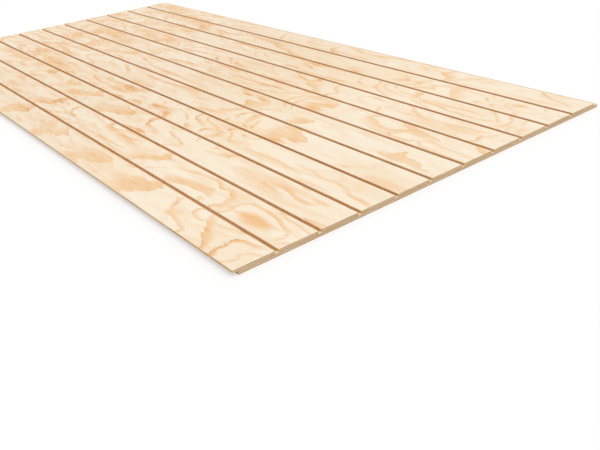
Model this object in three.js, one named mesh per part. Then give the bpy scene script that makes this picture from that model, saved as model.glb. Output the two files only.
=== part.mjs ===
// A grooved plywood siding sheet, lying flat with its milled face up.
// Millimetres, +Z up. X runs across the sheet, Y along it, and the origin is at the
// middle of the sheet's underside, on the middle of its overall width.
import * as THREE from 'three';

// Driving dimensions.
const sheetLength = 2438.4;      // 8 ft, along Y
const coverWidth = 1219.2;       // 4 ft of wall that one sheet covers, from joint to joint
const sheetThickness = 15.1;     // 19/32 in
const boardCount = 11;           // boards that the face imitates, one groove between each two
const grooveWidth = 9.5;         // 3/8 in, also the width left open at a joint of two sheets
const grooveDepth = 6.35;        // 1/4 in
const lapWidth = 9.5;            // 3/8 in of lip over tongue where two sheets join
const expansionGap = 3.2;        // 1/8 in left open behind the tongue of a joint
const lapClearance = 0.4;        // play between the lip and the tongue below it
const arrisRadius = 0.8;         // eased edges of the face
const rootRadius = 1.2;          // fillet where a groove's wall meets its floor
const arcSteps = 2;              // half the straight steps in each quarter round

// Places that follow from them.
const boardPitch = coverWidth / boardCount;
const overallWidth = coverWidth + lapWidth;
const lipEdge = -overallWidth / 2;
const tongueEdge = overallWidth / 2;
const backEdge = lipEdge + lapWidth + expansionGap;
const shoulderEdge = lipEdge + coverWidth - grooveWidth;
const grooveFloor = sheetThickness - grooveDepth;
const lipUnderside = grooveFloor + lapClearance;

/** The left wall of a groove: over the face's eased edge, down, and round into the floor. */
function cutDown(outline, x) {
  outline.lineTo(x - arrisRadius, sheetThickness);
  outline.absarc(x - arrisRadius, sheetThickness - arrisRadius, arrisRadius, Math.PI / 2, 0, true);
  outline.lineTo(x, grooveFloor + rootRadius);
  outline.absarc(x + rootRadius, grooveFloor + rootRadius, rootRadius, Math.PI, 1.5 * Math.PI, false);
}

/** The right wall of a groove, from the floor back up to the face. */
function cutUp(outline, x) {
  outline.lineTo(x - rootRadius, grooveFloor);
  outline.absarc(x - rootRadius, grooveFloor + rootRadius, rootRadius, 1.5 * Math.PI, 2 * Math.PI, false);
  outline.lineTo(x, sheetThickness - arrisRadius);
  outline.absarc(x + arrisRadius, sheetThickness - arrisRadius, arrisRadius, Math.PI, Math.PI / 2, true);
}

/** The sheet's cross-section: x across the sheet, y up through its thickness. */
function sheetSection() {
  const outline = new THREE.Shape();
  outline.moveTo(backEdge, 0);
  outline.lineTo(backEdge, lipUnderside);
  outline.lineTo(lipEdge, lipUnderside);
  outline.lineTo(lipEdge, sheetThickness - arrisRadius);
  outline.absarc(lipEdge + arrisRadius, sheetThickness - arrisRadius, arrisRadius, Math.PI, Math.PI / 2, true);
  for (let board = 1; board < boardCount; board += 1) {
    const nextBoard = lipEdge + board * boardPitch;
    cutDown(outline, nextBoard - grooveWidth);
    cutUp(outline, nextBoard);
  }
  cutDown(outline, shoulderEdge);
  outline.lineTo(tongueEdge, grooveFloor);
  outline.lineTo(tongueEdge, 0);
  outline.closePath();
  return outline;
}

const pineVeneer = new THREE.MeshStandardMaterial({
  color: 0xf1dcb9,
  roughness: 0.62,
  metalness: 0,
});

const sheetGeometry = new THREE.ExtrudeGeometry(sheetSection(), {
  depth: sheetLength,
  steps: 1,
  bevelEnabled: false,
  curveSegments: arcSteps,
});
sheetGeometry.rotateX(Math.PI / 2);
sheetGeometry.translate(0, sheetLength / 2, 0);

const plywoodSheet = new THREE.Mesh(sheetGeometry, pineVeneer);
plywoodSheet.name = 'plywood_sheet';

const sheet = new THREE.Group();
sheet.add(plywoodSheet);

export default sheet;
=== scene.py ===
"""Looks of a grooved pine plywood siding sheet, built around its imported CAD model.

The sheet is dressed ply by ply, as it is made: a face veneer that the milled grooves cut
into boards, a cross-grained ply that they pass through, a core ply that holds their
floors, a second cross-grained ply, and back veneers laid side by side. Metres, +Z up,
grain of the face along Y.
"""
import math

import bpy
import numpy as np
from mathutils import Matrix, Vector


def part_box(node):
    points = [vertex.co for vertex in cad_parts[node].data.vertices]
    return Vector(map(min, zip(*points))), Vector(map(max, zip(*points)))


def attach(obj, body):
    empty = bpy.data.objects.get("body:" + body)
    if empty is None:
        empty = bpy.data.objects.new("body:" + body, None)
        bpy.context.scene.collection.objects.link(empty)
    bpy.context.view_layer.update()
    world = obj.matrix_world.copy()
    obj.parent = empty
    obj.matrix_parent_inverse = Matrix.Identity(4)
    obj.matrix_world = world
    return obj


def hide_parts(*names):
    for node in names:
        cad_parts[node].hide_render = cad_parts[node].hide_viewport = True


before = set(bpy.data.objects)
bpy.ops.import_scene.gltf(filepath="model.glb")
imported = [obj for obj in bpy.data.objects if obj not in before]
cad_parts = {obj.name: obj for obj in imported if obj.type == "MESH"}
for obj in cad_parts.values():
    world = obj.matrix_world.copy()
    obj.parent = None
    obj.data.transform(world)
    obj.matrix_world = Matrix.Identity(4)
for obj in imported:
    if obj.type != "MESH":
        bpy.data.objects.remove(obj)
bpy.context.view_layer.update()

# The sheet, from its CAD node and the sizes of its milled section.
NODE = "plywood_sheet"
LOW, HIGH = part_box(NODE)
LENGTH = HIGH.y - LOW.y
THICKNESS = HIGH.z - LOW.z
PLIES = 5
PLY = THICKNESS / PLIES
PLY_TOPS = [PLY * (level + 1) for level in range(PLIES)]
BOARDS = 11
LAP = 0.0095
EXPANSION_GAP = 0.0032
LAP_CLEARANCE = 0.0004
GROOVE_WIDTH = 0.0095
GROOVE_DEPTH = 0.00635
ROOT_RADIUS = 0.0012
ARRIS_RADIUS = 0.0007
COVER = HIGH.x - LOW.x - LAP
PITCH = COVER / BOARDS
STRIP = PITCH - GROOVE_WIDTH
GROOVE_FLOOR = THICKNESS - GROOVE_DEPTH
LIP_UNDERSIDE = GROOVE_FLOOR + LAP_CLEARANCE
BACK_EDGE = LOW.x + LAP + EXPANSION_GAP
SHOULDER = LOW.x + COVER - GROOVE_WIDTH

# The camera, from the photograph: a view down across the near left corner.
CAMERA_PLACE = Vector((-1.1813, -2.2138, 0.7221))
CAMERA_AHEAD = Vector((0.52111, 0.70614, -0.47938))
CAMERA_UP = Vector((0.34972, 0.33569, 0.87465))
FRAME_WIDTH_PX = 600
FOCAL_PX = 710.0
SENSOR_MM = 36.0


def srgb(code):
    """A colour written as sRGB hex, in Blender's linear values."""
    values = [int(code[i:i + 2], 16) / 255 for i in (0, 2, 4)]
    linear = [v / 12.92 if v <= 0.04045 else ((v + 0.055) / 1.055) ** 2.4 for v in values]
    return (*linear, 1.0)


def grey(level):
    """A neutral colour of a linear level."""
    return (level, level, level, 1.0)


# ---------------------------------------------------------------- the face's figure

# Edges of the face's latewood, drawn for each board. An edge has the mm over which
# its colour fades, then its places: mm along the sheet from the near end, mm across the
# board from its left side, and the colour's strength in percent from there on. The colour lies
# on the left of whoever follows the edge on a sheet that runs to the right, seen from above
# with the board's left side at the top.
EDGES = (
    (  # board 1
        (8, (0, 76, 40), (18, 68), (35, 62), (33, 56), (41, 50), (45, 41), (34, 33), (33, 22), (44, 6),
         (54, 0)),
        (11, (18, 98, 30), (45, 90, 60), (75, 85, 75), (90, 78, 85), (98, 68), (100, 55), (96, 45),
         (94, 30), (97, 22), (92, 10), (84, 0)),
        (18, (216, 84, 30), (203, 71, 60), (190, 62, 70), (182, 50), (172, 40), (160, 30), (145, 22),
         (132, 14), (128, 6), (124, 0)),
        (10, (105, 100, 35), (135, 94), (160, 87), (180, 83), (205, 84), (213, 91), (216, 101)),
        (9, (266, 101, 50), (272, 90, 60), (270, 79), (262, 70), (245, 65, 45), (228, 62), (212, 66),
         (203, 72, 40)),
        (10, (346, 101, 35), (348, 92, 45), (360, 87, 50), (345, 80), (338, 70, 60), (332, 62),
         (330, 54, 45), (321, 45), (309, 38, 40), (327, 35, 30), (315, 31, 45), (300, 27, 50), (285, 29),
         (262, 25), (245, 20), (225, 17), (216, 11), (218, 0, 40)),
        (85, (478, 0, 50), (485, 8), (478, 16, 55), (463, 25, 60), (470, 34), (452, 43, 65), (442, 52),
         (432, 60), (430, 70), (440, 79), (423, 86), (436, 93), (446, 101)),
        (10, (622, 83, 15), (608, 88, 45), (592, 94, 40), (580, 101, 30)),
        (105, (735, 0, 35), (748, 10), (770, 19), (764, 25, 38), (735, 30, 42), (705, 40, 46), (680, 51),
         (691, 57), (668, 65), (652, 72), (676, 76), (690, 85), (705, 89, 42), (745, 86, 35),
         (800, 78, 20)),
        (115, (1045, 0, 35), (1020, 14), (1035, 24), (1010, 34), (980, 43, 45), (966, 49), (985, 56),
         (968, 64, 50), (951, 71), (968, 76), (985, 84), (1000, 92, 30)),
        (90, (1338, 0, 40), (1322, 16), (1312, 32, 45), (1298, 45, 50), (1283, 57), (1260, 65, 60),
         (1283, 74), (1288, 86, 40), (1300, 101)),
    ),
    (  # board 2
        (12, (218, 0, 40), (211, 12), (210, 25), (213, 40), (213, 55), (205, 66)),
        (10, (210, 64, 30), (198, 71, 60), (180, 74, 65), (150, 75), (120, 72), (95, 68), (75, 61, 60),
         (55, 54), (38, 51, 45), (33, 40, 35), (35, 25), (50, 10, 25), (85, 0, 15)),
        (7, (140, 101, 30), (125, 95, 45), (100, 88, 50), (80, 84), (60, 85), (30, 81), (10, 78),
         (0, 76)),
        (8, (3, 40, 20), (8, 28, 30), (18, 16), (32, 7), (48, 0)),
        (13, (520, 56, 15), (480, 64, 40), (455, 70, 50), (440, 76), (420, 80, 45), (385, 83),
         (362, 87, 50), (345, 82), (332, 75), (322, 70, 60), (308, 72), (298, 77, 50), (285, 76, 65),
         (272, 67), (258, 61, 50), (262, 52), (262, 44), (257, 34, 45), (257, 25), (266, 18, 60),
         (270, 11), (263, 0)),
        (32, (470, 0, 45), (450, 5, 55), (425, 14, 60), (400, 22), (375, 27), (350, 29), (330, 32),
         (312, 29, 50), (303, 34, 35), (300, 44, 15)),
        (14, (300, 16, 20), (312, 19, 50), (329, 17), (320, 8), (311, 0)),
        (8, (566, 3, 30), (552, 20), (530, 38, 20), (505, 50, 10)),
        (32, (652, 0, 45), (645, 12), (628, 27, 55), (610, 37, 60), (596, 43), (585, 52, 65), (580, 62),
         (566, 70, 50), (556, 76), (573, 80, 60), (583, 88), (578, 101, 45)),
        (8, (670, 14, 15), (700, 12, 45), (740, 13, 40), (780, 12, 45), (817, 17), (860, 22, 50),
         (905, 24, 40), (960, 25, 35), (1040, 27, 25)),
        (8, (730, 30, 15), (770, 28, 50), (815, 28), (860, 27), (910, 28, 35), (960, 30, 15)),
        (14, (768, 86, 35), (785, 79, 50), (815, 77), (845, 79), (860, 84, 35)),
        (8, (862, 87, 35), (840, 90, 45), (815, 93, 30), (790, 93, 15)),
        (22, (866, 91, 35), (885, 84, 50), (905, 81), (925, 84), (931, 92), (926, 101)),
        (10, (985, 38, 15), (1040, 40, 30), (1090, 44, 50), (1125, 47, 65), (1150, 55, 50),
         (1165, 68, 55), (1172, 84), (1170, 101, 45)),
        (12, (1115, 50, 20), (1140, 42, 50), (1165, 33), (1190, 22), (1215, 12, 55), (1250, 5, 45),
         (1290, 0, 30)),
        (10, (1040, 22, 20), (1085, 17, 40), (1120, 12), (1160, 4, 35)),
        (42, (1410, 6, 20), (1360, 10, 45), (1325, 19, 50), (1298, 28, 55), (1275, 36, 60), (1272, 48),
         (1282, 60), (1255, 70, 55), (1280, 76, 70), (1272, 88, 50), (1262, 101)),
    ),
    (  # board 3
        (30, (0, 18, 50), (20, 15), (42, 12), (52, 9), (66, 5), (52, 0)),
        (14, (268, 60, 25), (235, 61, 50), (200, 60, 60), (180, 56), (162, 49), (145, 45, 55),
         (120, 47, 50), (100, 52, 35), (85, 62, 15)),
        (12, (190, 43, 15), (215, 48, 45), (240, 49), (258, 51), (267, 56, 40)),
        (8, (192, 99, 15), (180, 94, 45), (165, 94), (155, 100, 30)),
        (24, (500, 62, 20), (478, 68, 40), (458, 74, 55), (456, 84), (450, 92), (448, 101)),
        (14, (541, 78, 30), (531, 86, 50), (535, 101)),
        (8, (622, 84, 25), (630, 92, 40), (634, 101)),
        (9, (757, 67, 40), (738, 61, 60), (716, 54), (700, 51), (680, 49, 55), (660, 46), (645, 41, 50),
         (636, 32, 30)),
        (12, (668, 0, 40), (655, 10), (640, 18, 35), (628, 25, 20)),
        (14, (872, 101, 50), (882, 92, 60), (893, 84), (884, 75, 75), (872, 64), (862, 53),
         (848, 46, 65), (825, 43, 50), (800, 38, 40), (775, 30), (758, 22, 20)),
        (14, (772, 7, 20), (795, 13, 45), (812, 17, 70), (832, 18), (852, 14, 50), (880, 11),
         (900, 7, 40), (918, 0)),
        (95, (1075, 0, 35), (1068, 13), (1050, 22, 45), (1012, 31, 55), (986, 42), (974, 56, 60),
         (964, 70), (980, 79), (1010, 83, 50), (1040, 89, 40), (1060, 100, 20)),
        (42, (1370, 5, 30), (1340, 17, 45), (1305, 28), (1282, 38, 40), (1262, 48), (1243, 60, 60),
         (1225, 70), (1204, 77), (1232, 83), (1252, 92, 50), (1245, 101)),
        (110, (1460, 30, 20), (1435, 42, 45), (1440, 56), (1418, 70, 50), (1405, 82), (1430, 92, 30)),
        (26, (1630, 50, 30), (1655, 36, 45), (1680, 24), (1715, 14, 30)),
        (60, (1690, 58, 30), (1650, 66, 50), (1628, 76), (1640, 88, 55), (1632, 101)),
        (50, (1830, 62, 30), (1805, 74, 45), (1790, 88), (1796, 101)),
        (60, (2050, 46, 40), (2000, 56, 45), (1950, 66), (1915, 78, 50), (1925, 92, 30)),
        (70, (2200, 58, 30), (2150, 58, 45), (2105, 68), (2075, 80, 40), (2090, 92, 30)),
    ),
    (  # board 4
        (10, (300, 54, 20), (260, 52, 35), (235, 55, 50), (215, 50), (200, 47), (180, 44), (160, 48, 45),
         (145, 50), (125, 47), (105, 44), (90, 39, 50), (75, 30, 60), (60, 26), (30, 23), (0, 20, 50)),
        (12, (240, 33, 15), (275, 38, 35), (320, 41, 40), (360, 42), (400, 40), (440, 38, 30),
         (500, 36, 20)),
        (9, (620, 101, 45), (622, 92), (634, 80, 65), (625, 72, 55), (605, 66, 50), (590, 58), (578, 45),
         (568, 34, 55), (557, 28), (542, 32, 45), (525, 39, 40), (500, 41, 30), (480, 40, 15)),
        (12, (560, 93, 30), (565, 80, 60), (556, 72, 50), (540, 74, 40), (522, 78), (507, 86, 50),
         (497, 101)),
        (16, (676, 15, 30), (681, 26, 60), (676, 36, 50), (666, 44, 20)),
        (18, (640, 52, 30), (630, 44, 45), (628, 32), (634, 22), (646, 15, 30)),
        (9, (760, 101, 35), (758, 88, 50), (748, 78), (735, 72), (715, 69, 55), (695, 67), (678, 63, 50),
         (662, 57, 40), (648, 50), (636, 46, 25)),
        (14, (770, 16, 45), (758, 9, 65), (745, 6, 55), (730, 4, 30)),
        (12, (808, 101, 50), (801, 90, 60), (795, 78), (789, 66), (778, 57), (758, 54, 50), (738, 49),
         (720, 43, 35), (708, 37, 15)),
        (9, (900, 75, 12), (862, 66, 30), (838, 60, 50), (824, 54), (812, 45), (798, 39, 40),
         (783, 36, 20)),
        (20, (922, 31, 35), (908, 28, 65), (898, 20, 80), (890, 10, 65), (880, 0, 60)),
        (16, (1015, 42, 40), (1003, 34, 70), (980, 34), (965, 37, 50), (940, 43, 45), (910, 45, 40),
         (880, 45, 20)),
        (20, (1038, 22, 35), (1060, 27, 50), (1085, 26), (1108, 24), (1120, 14), (1115, 0, 40)),
        (14, (1142, 8, 30), (1160, 15, 50), (1182, 12), (1200, 0)),
        (60, (1290, 26, 35), (1245, 27, 50), (1210, 34), (1180, 42, 55), (1163, 52), (1170, 62),
         (1150, 76, 40), (1120, 82, 15)),
        (18, (1175, 82, 30), (1200, 84, 60), (1230, 84, 70), (1262, 84), (1300, 80, 50), (1350, 79, 45),
         (1400, 79, 30)),
        (14, (1485, 56, 30), (1465, 44, 50), (1430, 36, 40), (1380, 31, 35), (1320, 33), (1280, 32, 15)),
        (10, (1690, 8, 20), (1640, 10, 45), (1600, 15, 55), (1570, 12, 30)),
        (18, (1715, 30, 20), (1760, 26, 50), (1800, 24), (1835, 34, 55), (1870, 44), (1925, 52, 40),
         (1960, 48, 20)),
        (130, (2040, 94, 40), (2062, 80, 55), (2094, 64), (2072, 53), (2030, 47, 50), (1985, 36, 40),
         (1945, 34, 20)),
        (60, (1600, 40, 20), (1680, 42, 40), (1750, 50, 50), (1800, 54), (1860, 58, 30)),
        (50, (2235, 30, 20), (2180, 32, 40), (2150, 40), (2175, 52, 45), (2200, 58, 30)),
    ),
    (  # board 5
        (82, (445, 0, 45), (421, 10), (436, 16, 50), (455, 20), (470, 30), (445, 35, 60), (430, 30),
         (415, 33), (404, 42), (386, 54), (402, 69), (415, 77), (440, 81), (453, 89), (460, 101)),
        (28, (664, 101, 55), (669, 84, 60), (666, 70), (659, 56, 50), (651, 42), (642, 30, 45),
         (632, 24, 25)),
        (12, (628, 74, 20), (614, 52, 45), (606, 36, 50), (599, 20), (588, 14, 30)),
        (8, (633, 16, 30), (622, 11, 60), (608, 7, 40), (596, 2, 30)),
        (10, (688, 101, 30), (697, 90, 40), (712, 80, 60), (708, 68, 65), (713, 58, 55), (707, 47),
         (698, 38, 45), (690, 26, 25)),
        (12, (716, 18, 40), (708, 8), (702, 0)),
        (22, (868, 0, 40), (835, 3, 45), (805, 8), (785, 15), (765, 24, 30), (752, 30, 10)),
        (26, (790, 36, 30), (770, 43, 50), (757, 52), (750, 63), (742, 75, 45), (738, 88), (740, 101)),
        (22, (1000, 101, 30), (1075, 97, 50), (1100, 90), (1140, 86), (1200, 82), (1260, 78, 45),
         (1300, 79, 30)),
        (14, (1530, 88, 20), (1500, 76, 45), (1465, 64, 50), (1435, 52), (1410, 42, 30)),
        (30, (1825, 6, 30), (1865, 20, 50), (1915, 33), (1965, 43, 55), (2015, 41, 40), (2060, 50, 50),
         (2100, 56), (2125, 44, 45), (2130, 24), (2118, 0, 40)),
        (16, (1820, 90, 20), (1880, 82, 40), (1960, 74), (2050, 70), (2090, 76, 20)),
    ),
    (  # board 6
        (60, (28, 19, 45), (42, 22), (60, 20, 50), (63, 28), (69, 37), (79, 43), (92, 46), (105, 49),
         (116, 46), (130, 48, 60), (137, 54), (143, 60), (141, 66), (147, 70), (152, 66), (150, 60),
         (158, 58), (164, 50), (166, 42), (178, 38, 40), (200, 34, 30), (204, 25, 35), (199, 18, 60),
         (190, 14), (170, 12), (140, 11), (118, 14), (108, 21, 50), (96, 17), (78, 12), (62, 10),
         (45, 13), (28, 16), (28, 19)),
        (45, (520, 0, 30), (508, 12, 45), (503, 25, 50), (495, 36), (488, 48), (487, 58, 45),
         (492, 66, 20)),
        (10, (694, 0, 55), (690, 12), (682, 22, 50), (668, 30, 40), (656, 40), (652, 52, 30),
         (648, 64, 20)),
        (8, (646, 22, 20), (638, 34, 40), (634, 46), (628, 58, 25), (622, 66, 15)),
        (8, (652, 101, 50), (645, 90, 60), (636, 80, 40), (622, 72, 20)),
        (8, (690, 101, 50), (676, 90, 55), (666, 80, 50), (655, 73, 40), (640, 66, 20)),
        (70, (752, 62, 40), (766, 50, 50), (785, 47, 55), (799, 42), (802, 34), (796, 27, 65), (787, 22),
         (776, 14), (768, 0, 50)),
        (30, (724, 0, 30), (715, 18, 35), (719, 34), (704, 52, 45), (712, 64), (726, 76, 40),
         (748, 86, 30)),
        (12, (790, 68, 30), (775, 66, 60), (758, 64, 70), (742, 66, 50)),
        (14, (870, 74, 50), (858, 68, 80), (840, 67), (822, 68, 70), (812, 74, 50), (795, 78, 45),
         (770, 80, 40), (755, 78, 30)),
        (22, (912, 101, 40), (900, 92, 50), (893, 83, 45), (876, 80), (860, 80, 40), (840, 84, 30)),
        (14, (1470, 50, 20), (1445, 38, 40), (1405, 28), (1330, 24), (1260, 21, 45), (1210, 22),
         (1160, 20, 40), (1100, 16, 30), (1000, 10, 20)),
        (12, (1440, 60, 20), (1470, 60, 35), (1500, 60, 60), (1525, 68), (1540, 74, 30)),
        (14, (1560, 80, 30), (1510, 76, 45), (1460, 76, 40), (1420, 84, 30)),
        (10, (1700, 14, 30), (1650, 12, 50), (1610, 10, 45), (1590, 14, 20)),
        (16, (1690, 55, 30), (1660, 68, 45), (1635, 80, 50), (1600, 92, 40)),
        (90, (2000, 101, 30), (1986, 82, 40), (1972, 62), (1996, 50, 55), (1980, 38), (1972, 24, 45),
         (1990, 8), (2004, 0, 40)),
        (50, (1760, 0, 30), (1748, 14, 40), (1715, 26), (1680, 38), (1650, 50, 45), (1625, 66, 50),
         (1605, 84, 30)),
        (70, (2235, 30, 25), (2190, 36, 45), (2150, 26), (2120, 12, 40), (2085, 4, 20)),
    ),
    (  # board 7
        (8, (0, 8, 30), (40, 7, 35), (80, 8), (120, 10, 40), (150, 13), (162, 24, 50), (178, 32),
         (192, 30, 40)),
        (12, (188, 28, 30), (205, 20, 50), (230, 16, 55), (255, 15), (270, 20, 70), (285, 17, 55),
         (310, 19, 50), (340, 25, 35), (380, 36, 30), (410, 50, 20)),
        (26, (302, 101, 45), (285, 90, 55), (268, 84), (254, 78, 60), (257, 68), (266, 60), (273, 52),
         (285, 45, 50), (300, 43), (320, 46), (338, 52), (352, 60), (372, 68, 55), (392, 74, 60),
         (400, 78, 40)),
        (14, (402, 76, 50), (388, 84, 60), (372, 91, 50), (360, 101, 40)),
        (30, (165, 56, 20), (148, 60, 40), (133, 67, 55), (150, 73), (175, 78), (205, 86), (240, 92),
         (270, 97, 40)),
        (10, (150, 40, 25), (100, 34, 30), (50, 31), (0, 29, 25)),
        (25, (48, 101, 60), (40, 90), (28, 81), (14, 75), (0, 71)),
        (58, (540, 0, 40), (546, 12, 50), (558, 22), (570, 30), (562, 38, 55), (542, 44), (529, 50),
         (534, 62), (535, 76), (548, 84, 40), (580, 86, 20)),
        (12, (600, 88, 15), (628, 82, 35), (650, 72, 40), (664, 57, 45), (669, 40), (667, 20), (663, 0)),
        (12, (632, 101, 30), (655, 91, 45), (677, 80), (692, 67), (702, 52, 50), (706, 35), (704, 15),
         (699, 0)),
        (14, (700, 101, 30), (715, 88, 40), (738, 74, 45), (757, 60), (768, 49), (785, 41), (815, 36),
         (835, 28, 25)),
        (14, (815, 24, 20), (840, 22, 40), (870, 14), (880, 2, 30)),
        (16, (1080, 40, 20), (1030, 42, 40), (985, 46, 45), (940, 49, 50), (912, 50, 65), (895, 51),
         (880, 50, 70), (862, 55, 65), (835, 60), (810, 58, 50), (785, 58, 40), (770, 64, 20)),
        (16, (1230, 90, 30), (1180, 88, 50), (1130, 83), (1095, 79), (1078, 82, 40), (1068, 92, 20)),
        (22, (1262, 30, 30), (1290, 38, 50), (1330, 38), (1370, 32), (1420, 28), (1445, 22, 30)),
        (70, (1560, 0, 30), (1535, 15, 45), (1540, 30), (1560, 45, 35), (1590, 55, 20)),
        (8, (1580, 60, 30), (1560, 68, 45), (1540, 76, 30)),
        (110, (2062, 0, 40), (2074, 16, 45), (2084, 30), (2062, 42, 50), (2010, 44), (1960, 38, 40),
         (1920, 26, 20)),
        (60, (1905, 0, 30), (1884, 10, 45), (1850, 18), (1810, 16, 30)),
        (40, (2180, 36, 20), (2160, 50, 40), (2110, 66), (2070, 72, 45), (2040, 80, 25)),
    ),
    (  # board 8
        (15, (52, 80, 30), (62, 68, 45), (75, 56), (81, 43, 60), (79, 30), (73, 18, 55), (86, 7),
         (90, 0)),
        (16, (78, 84, 30), (100, 76, 50), (125, 73), (150, 72), (170, 67, 40), (205, 62), (240, 62, 30),
         (280, 66, 15)),
        (14, (385, 101, 50), (368, 94, 55), (350, 80), (335, 68, 50), (315, 57, 40), (285, 46, 35),
         (250, 36, 20)),
        (8, (260, 97, 20), (220, 90, 35), (170, 87, 40), (135, 88, 30)),
        (12, (438, 30, 40), (432, 20, 45), (425, 8, 40), (418, 0, 35)),
        (10, (510, 84, 40), (490, 79, 50), (465, 74, 40), (440, 70, 20)),
        (10, (480, 84, 40), (512, 83), (540, 77), (553, 68, 35), (548, 56), (540, 44, 25)),
        (12, (674, 101, 55), (682, 84), (678, 72), (668, 62, 50), (656, 54), (643, 48), (637, 38, 55),
         (642, 29), (653, 19, 60), (652, 8, 65), (644, 0)),
        (28, (776, 52, 40), (784, 44, 50), (776, 36), (758, 31), (735, 24), (712, 12), (700, 0, 40)),
        (12, (935, 101, 60), (905, 97, 55), (885, 88), (866, 76, 50), (850, 70, 55), (830, 64),
         (808, 57), (788, 54, 40), (740, 52, 35), (715, 48, 20)),
        (28, (790, 101, 50), (786, 86), (792, 74, 40), (800, 66, 20)),
        (18, (812, 32, 20), (850, 24, 35), (885, 18, 45), (930, 14, 40), (985, 16, 30)),
        (12, (1195, 38, 30), (1180, 28, 50), (1150, 19, 40), (1115, 12, 35), (1080, 12, 20)),
        (14, (1255, 50, 40), (1235, 42, 50), (1220, 30, 40), (1200, 20, 30), (1180, 10, 20)),
        (10, (1305, 26, 40), (1290, 16, 80), (1278, 8, 50)),
        (14, (1300, 50, 15), (1350, 45, 35), (1395, 41, 50), (1435, 33), (1480, 27, 55), (1530, 22, 40)),
        (14, (1445, 84, 20), (1475, 76, 45), (1500, 66, 50), (1520, 56, 30)),
        (14, (1632, 56, 30), (1622, 44, 50), (1608, 32), (1598, 20, 40), (1590, 8, 30)),
        (10, (1712, 66, 40), (1690, 60, 50), (1670, 48, 40), (1655, 36, 20)),
        (16, (1662, 56, 30), (1695, 70, 55), (1740, 80), (1800, 89, 40)),
        (70, (1720, 0, 50), (1712, 12), (1694, 22, 55), (1668, 16, 40), (1640, 4, 30)),
        (60, (1770, 40, 30), (1810, 54, 50), (1850, 56), (1872, 48, 45), (1880, 34, 30)),
        (40, (1830, 66, 20), (1880, 76, 45), (1940, 84), (1985, 80, 35)),
        (36, (2080, 52, 30), (2042, 62, 50), (2030, 78, 45), (2040, 94, 30)),
        (90, (2330, 46, 20), (2270, 58, 40), (2230, 72), (2215, 90)),
    ),
    (  # board 9
        (26, (34, 48, 25), (37, 36, 45), (38, 25), (30, 15, 40), (16, 5, 30)),
        (8, (58, 50, 30), (63, 36, 45), (66, 24), (61, 13), (50, 4, 35)),
        (8, (62, 101, 30), (58, 88, 45), (54, 76, 40), (50, 66, 25)),
        (9, (116, 101, 45), (106, 91, 55), (96, 80), (87, 68, 60), (82, 52, 55), (80, 38, 50),
         (86, 24, 35), (98, 13), (112, 3, 25)),
        (9, (174, 101, 40), (160, 90, 45), (143, 76), (132, 64), (118, 52, 50), (112, 44, 40)),
        (11, (128, 42, 30), (140, 36, 50), (165, 30), (200, 28), (225, 33), (245, 34), (262, 30),
         (285, 36, 55), (310, 42), (350, 45), (375, 47), (400, 53, 40)),
        (28, (402, 52, 30), (410, 62, 50), (414, 78, 55), (418, 101)),
        (12, (192, 68, 30), (212, 65, 50), (235, 63), (255, 60, 45), (290, 58), (320, 56, 30),
         (360, 58, 15)),
        (8, (300, 3, 30), (335, 12, 40), (365, 22), (392, 31, 45), (420, 38), (460, 42, 35),
         (500, 46, 25)),
        (10, (420, 60, 20), (450, 64, 45), (490, 68, 40)),
        (10, (624, 101, 35), (608, 90, 40), (596, 78), (592, 62, 50), (588, 50), (574, 36, 45),
         (550, 24), (520, 13), (488, 4, 30)),
        (9, (577, 101, 40), (573, 86, 45), (568, 71), (557, 58), (540, 49), (510, 42, 35),
         (480, 38, 30)),
        (9, (540, 101, 35), (533, 86, 45), (522, 73), (505, 66, 30), (485, 62, 20)),
        (8, (664, 48, 30), (656, 43, 85), (646, 38, 60), (628, 31, 30)),
        (8, (700, 101, 30), (690, 88, 35), (680, 70), (672, 50, 20)),
        (18, (694, 32, 30), (706, 27, 50), (728, 25, 60), (752, 24), (775, 19, 45), (810, 18, 50),
         (840, 17, 40), (880, 17, 35), (905, 22, 25)),
        (12, (1005, 92, 40), (985, 80, 45), (955, 66, 40), (930, 58, 50), (912, 50), (893, 42, 30)),
        (10, (870, 92, 30), (830, 88, 40), (790, 89), (750, 92, 45), (715, 94, 30)),
        (42, (990, 92, 30), (955, 84, 50), (930, 78, 60), (905, 73), (888, 78), (868, 90, 50),
         (862, 101, 30)),
        (16, (935, 24, 20), (955, 33, 40), (985, 30), (1010, 26, 30)),
        (8, (1190, 58, 20), (1175, 50, 40), (1150, 36), (1125, 26, 20)),
        (10, (1245, 50, 30), (1228, 40, 35), (1210, 24), (1190, 12, 20)),
        (14, (1185, 75, 30), (1165, 80, 50), (1150, 92), (1145, 101, 40)),
        (20, (1430, 74, 30), (1400, 78, 50), (1360, 86), (1310, 82), (1275, 79), (1245, 84, 45),
         (1225, 92, 30)),
        (70, (1800, 40, 20), (1770, 54, 40), (1740, 70), (1725, 86)),
        (60, (1930, 40, 25), (1900, 56, 45), (1870, 68), (1850, 84, 30)),
        (80, (2090, 0, 40), (2070, 10), (2040, 22), (2000, 34, 35), (1985, 50, 20)),
        (50, (2400, 4, 50), (2385, 18), (2350, 22, 40), (2320, 12, 20)),
    ),
    (  # board 10
        (12, (186, 66, 20), (178, 52, 40), (165, 40, 45), (148, 32), (136, 26, 30)),
        (14, (208, 40, 30), (211, 30, 45), (203, 18), (194, 12, 30)),
        (16, (238, 34, 20), (254, 30, 50), (267, 24), (258, 18, 45), (246, 10, 20)),
        (9, (250, 70, 30), (250, 60, 55), (242, 50), (228, 40, 35)),
        (8, (255, 101, 40), (245, 88, 45), (236, 76, 30)),
        (8, (215, 96, 30), (208, 82, 40), (204, 68, 30)),
        (8, (80, 101, 40), (70, 86, 45), (63, 74, 30)),
        (10, (126, 18, 40), (114, 8, 45), (106, 0, 30)),
        (45, (392, 101, 40), (378, 84, 45), (384, 66), (374, 48, 50), (358, 30, 45), (340, 10, 35),
         (330, 0, 30)),
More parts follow.
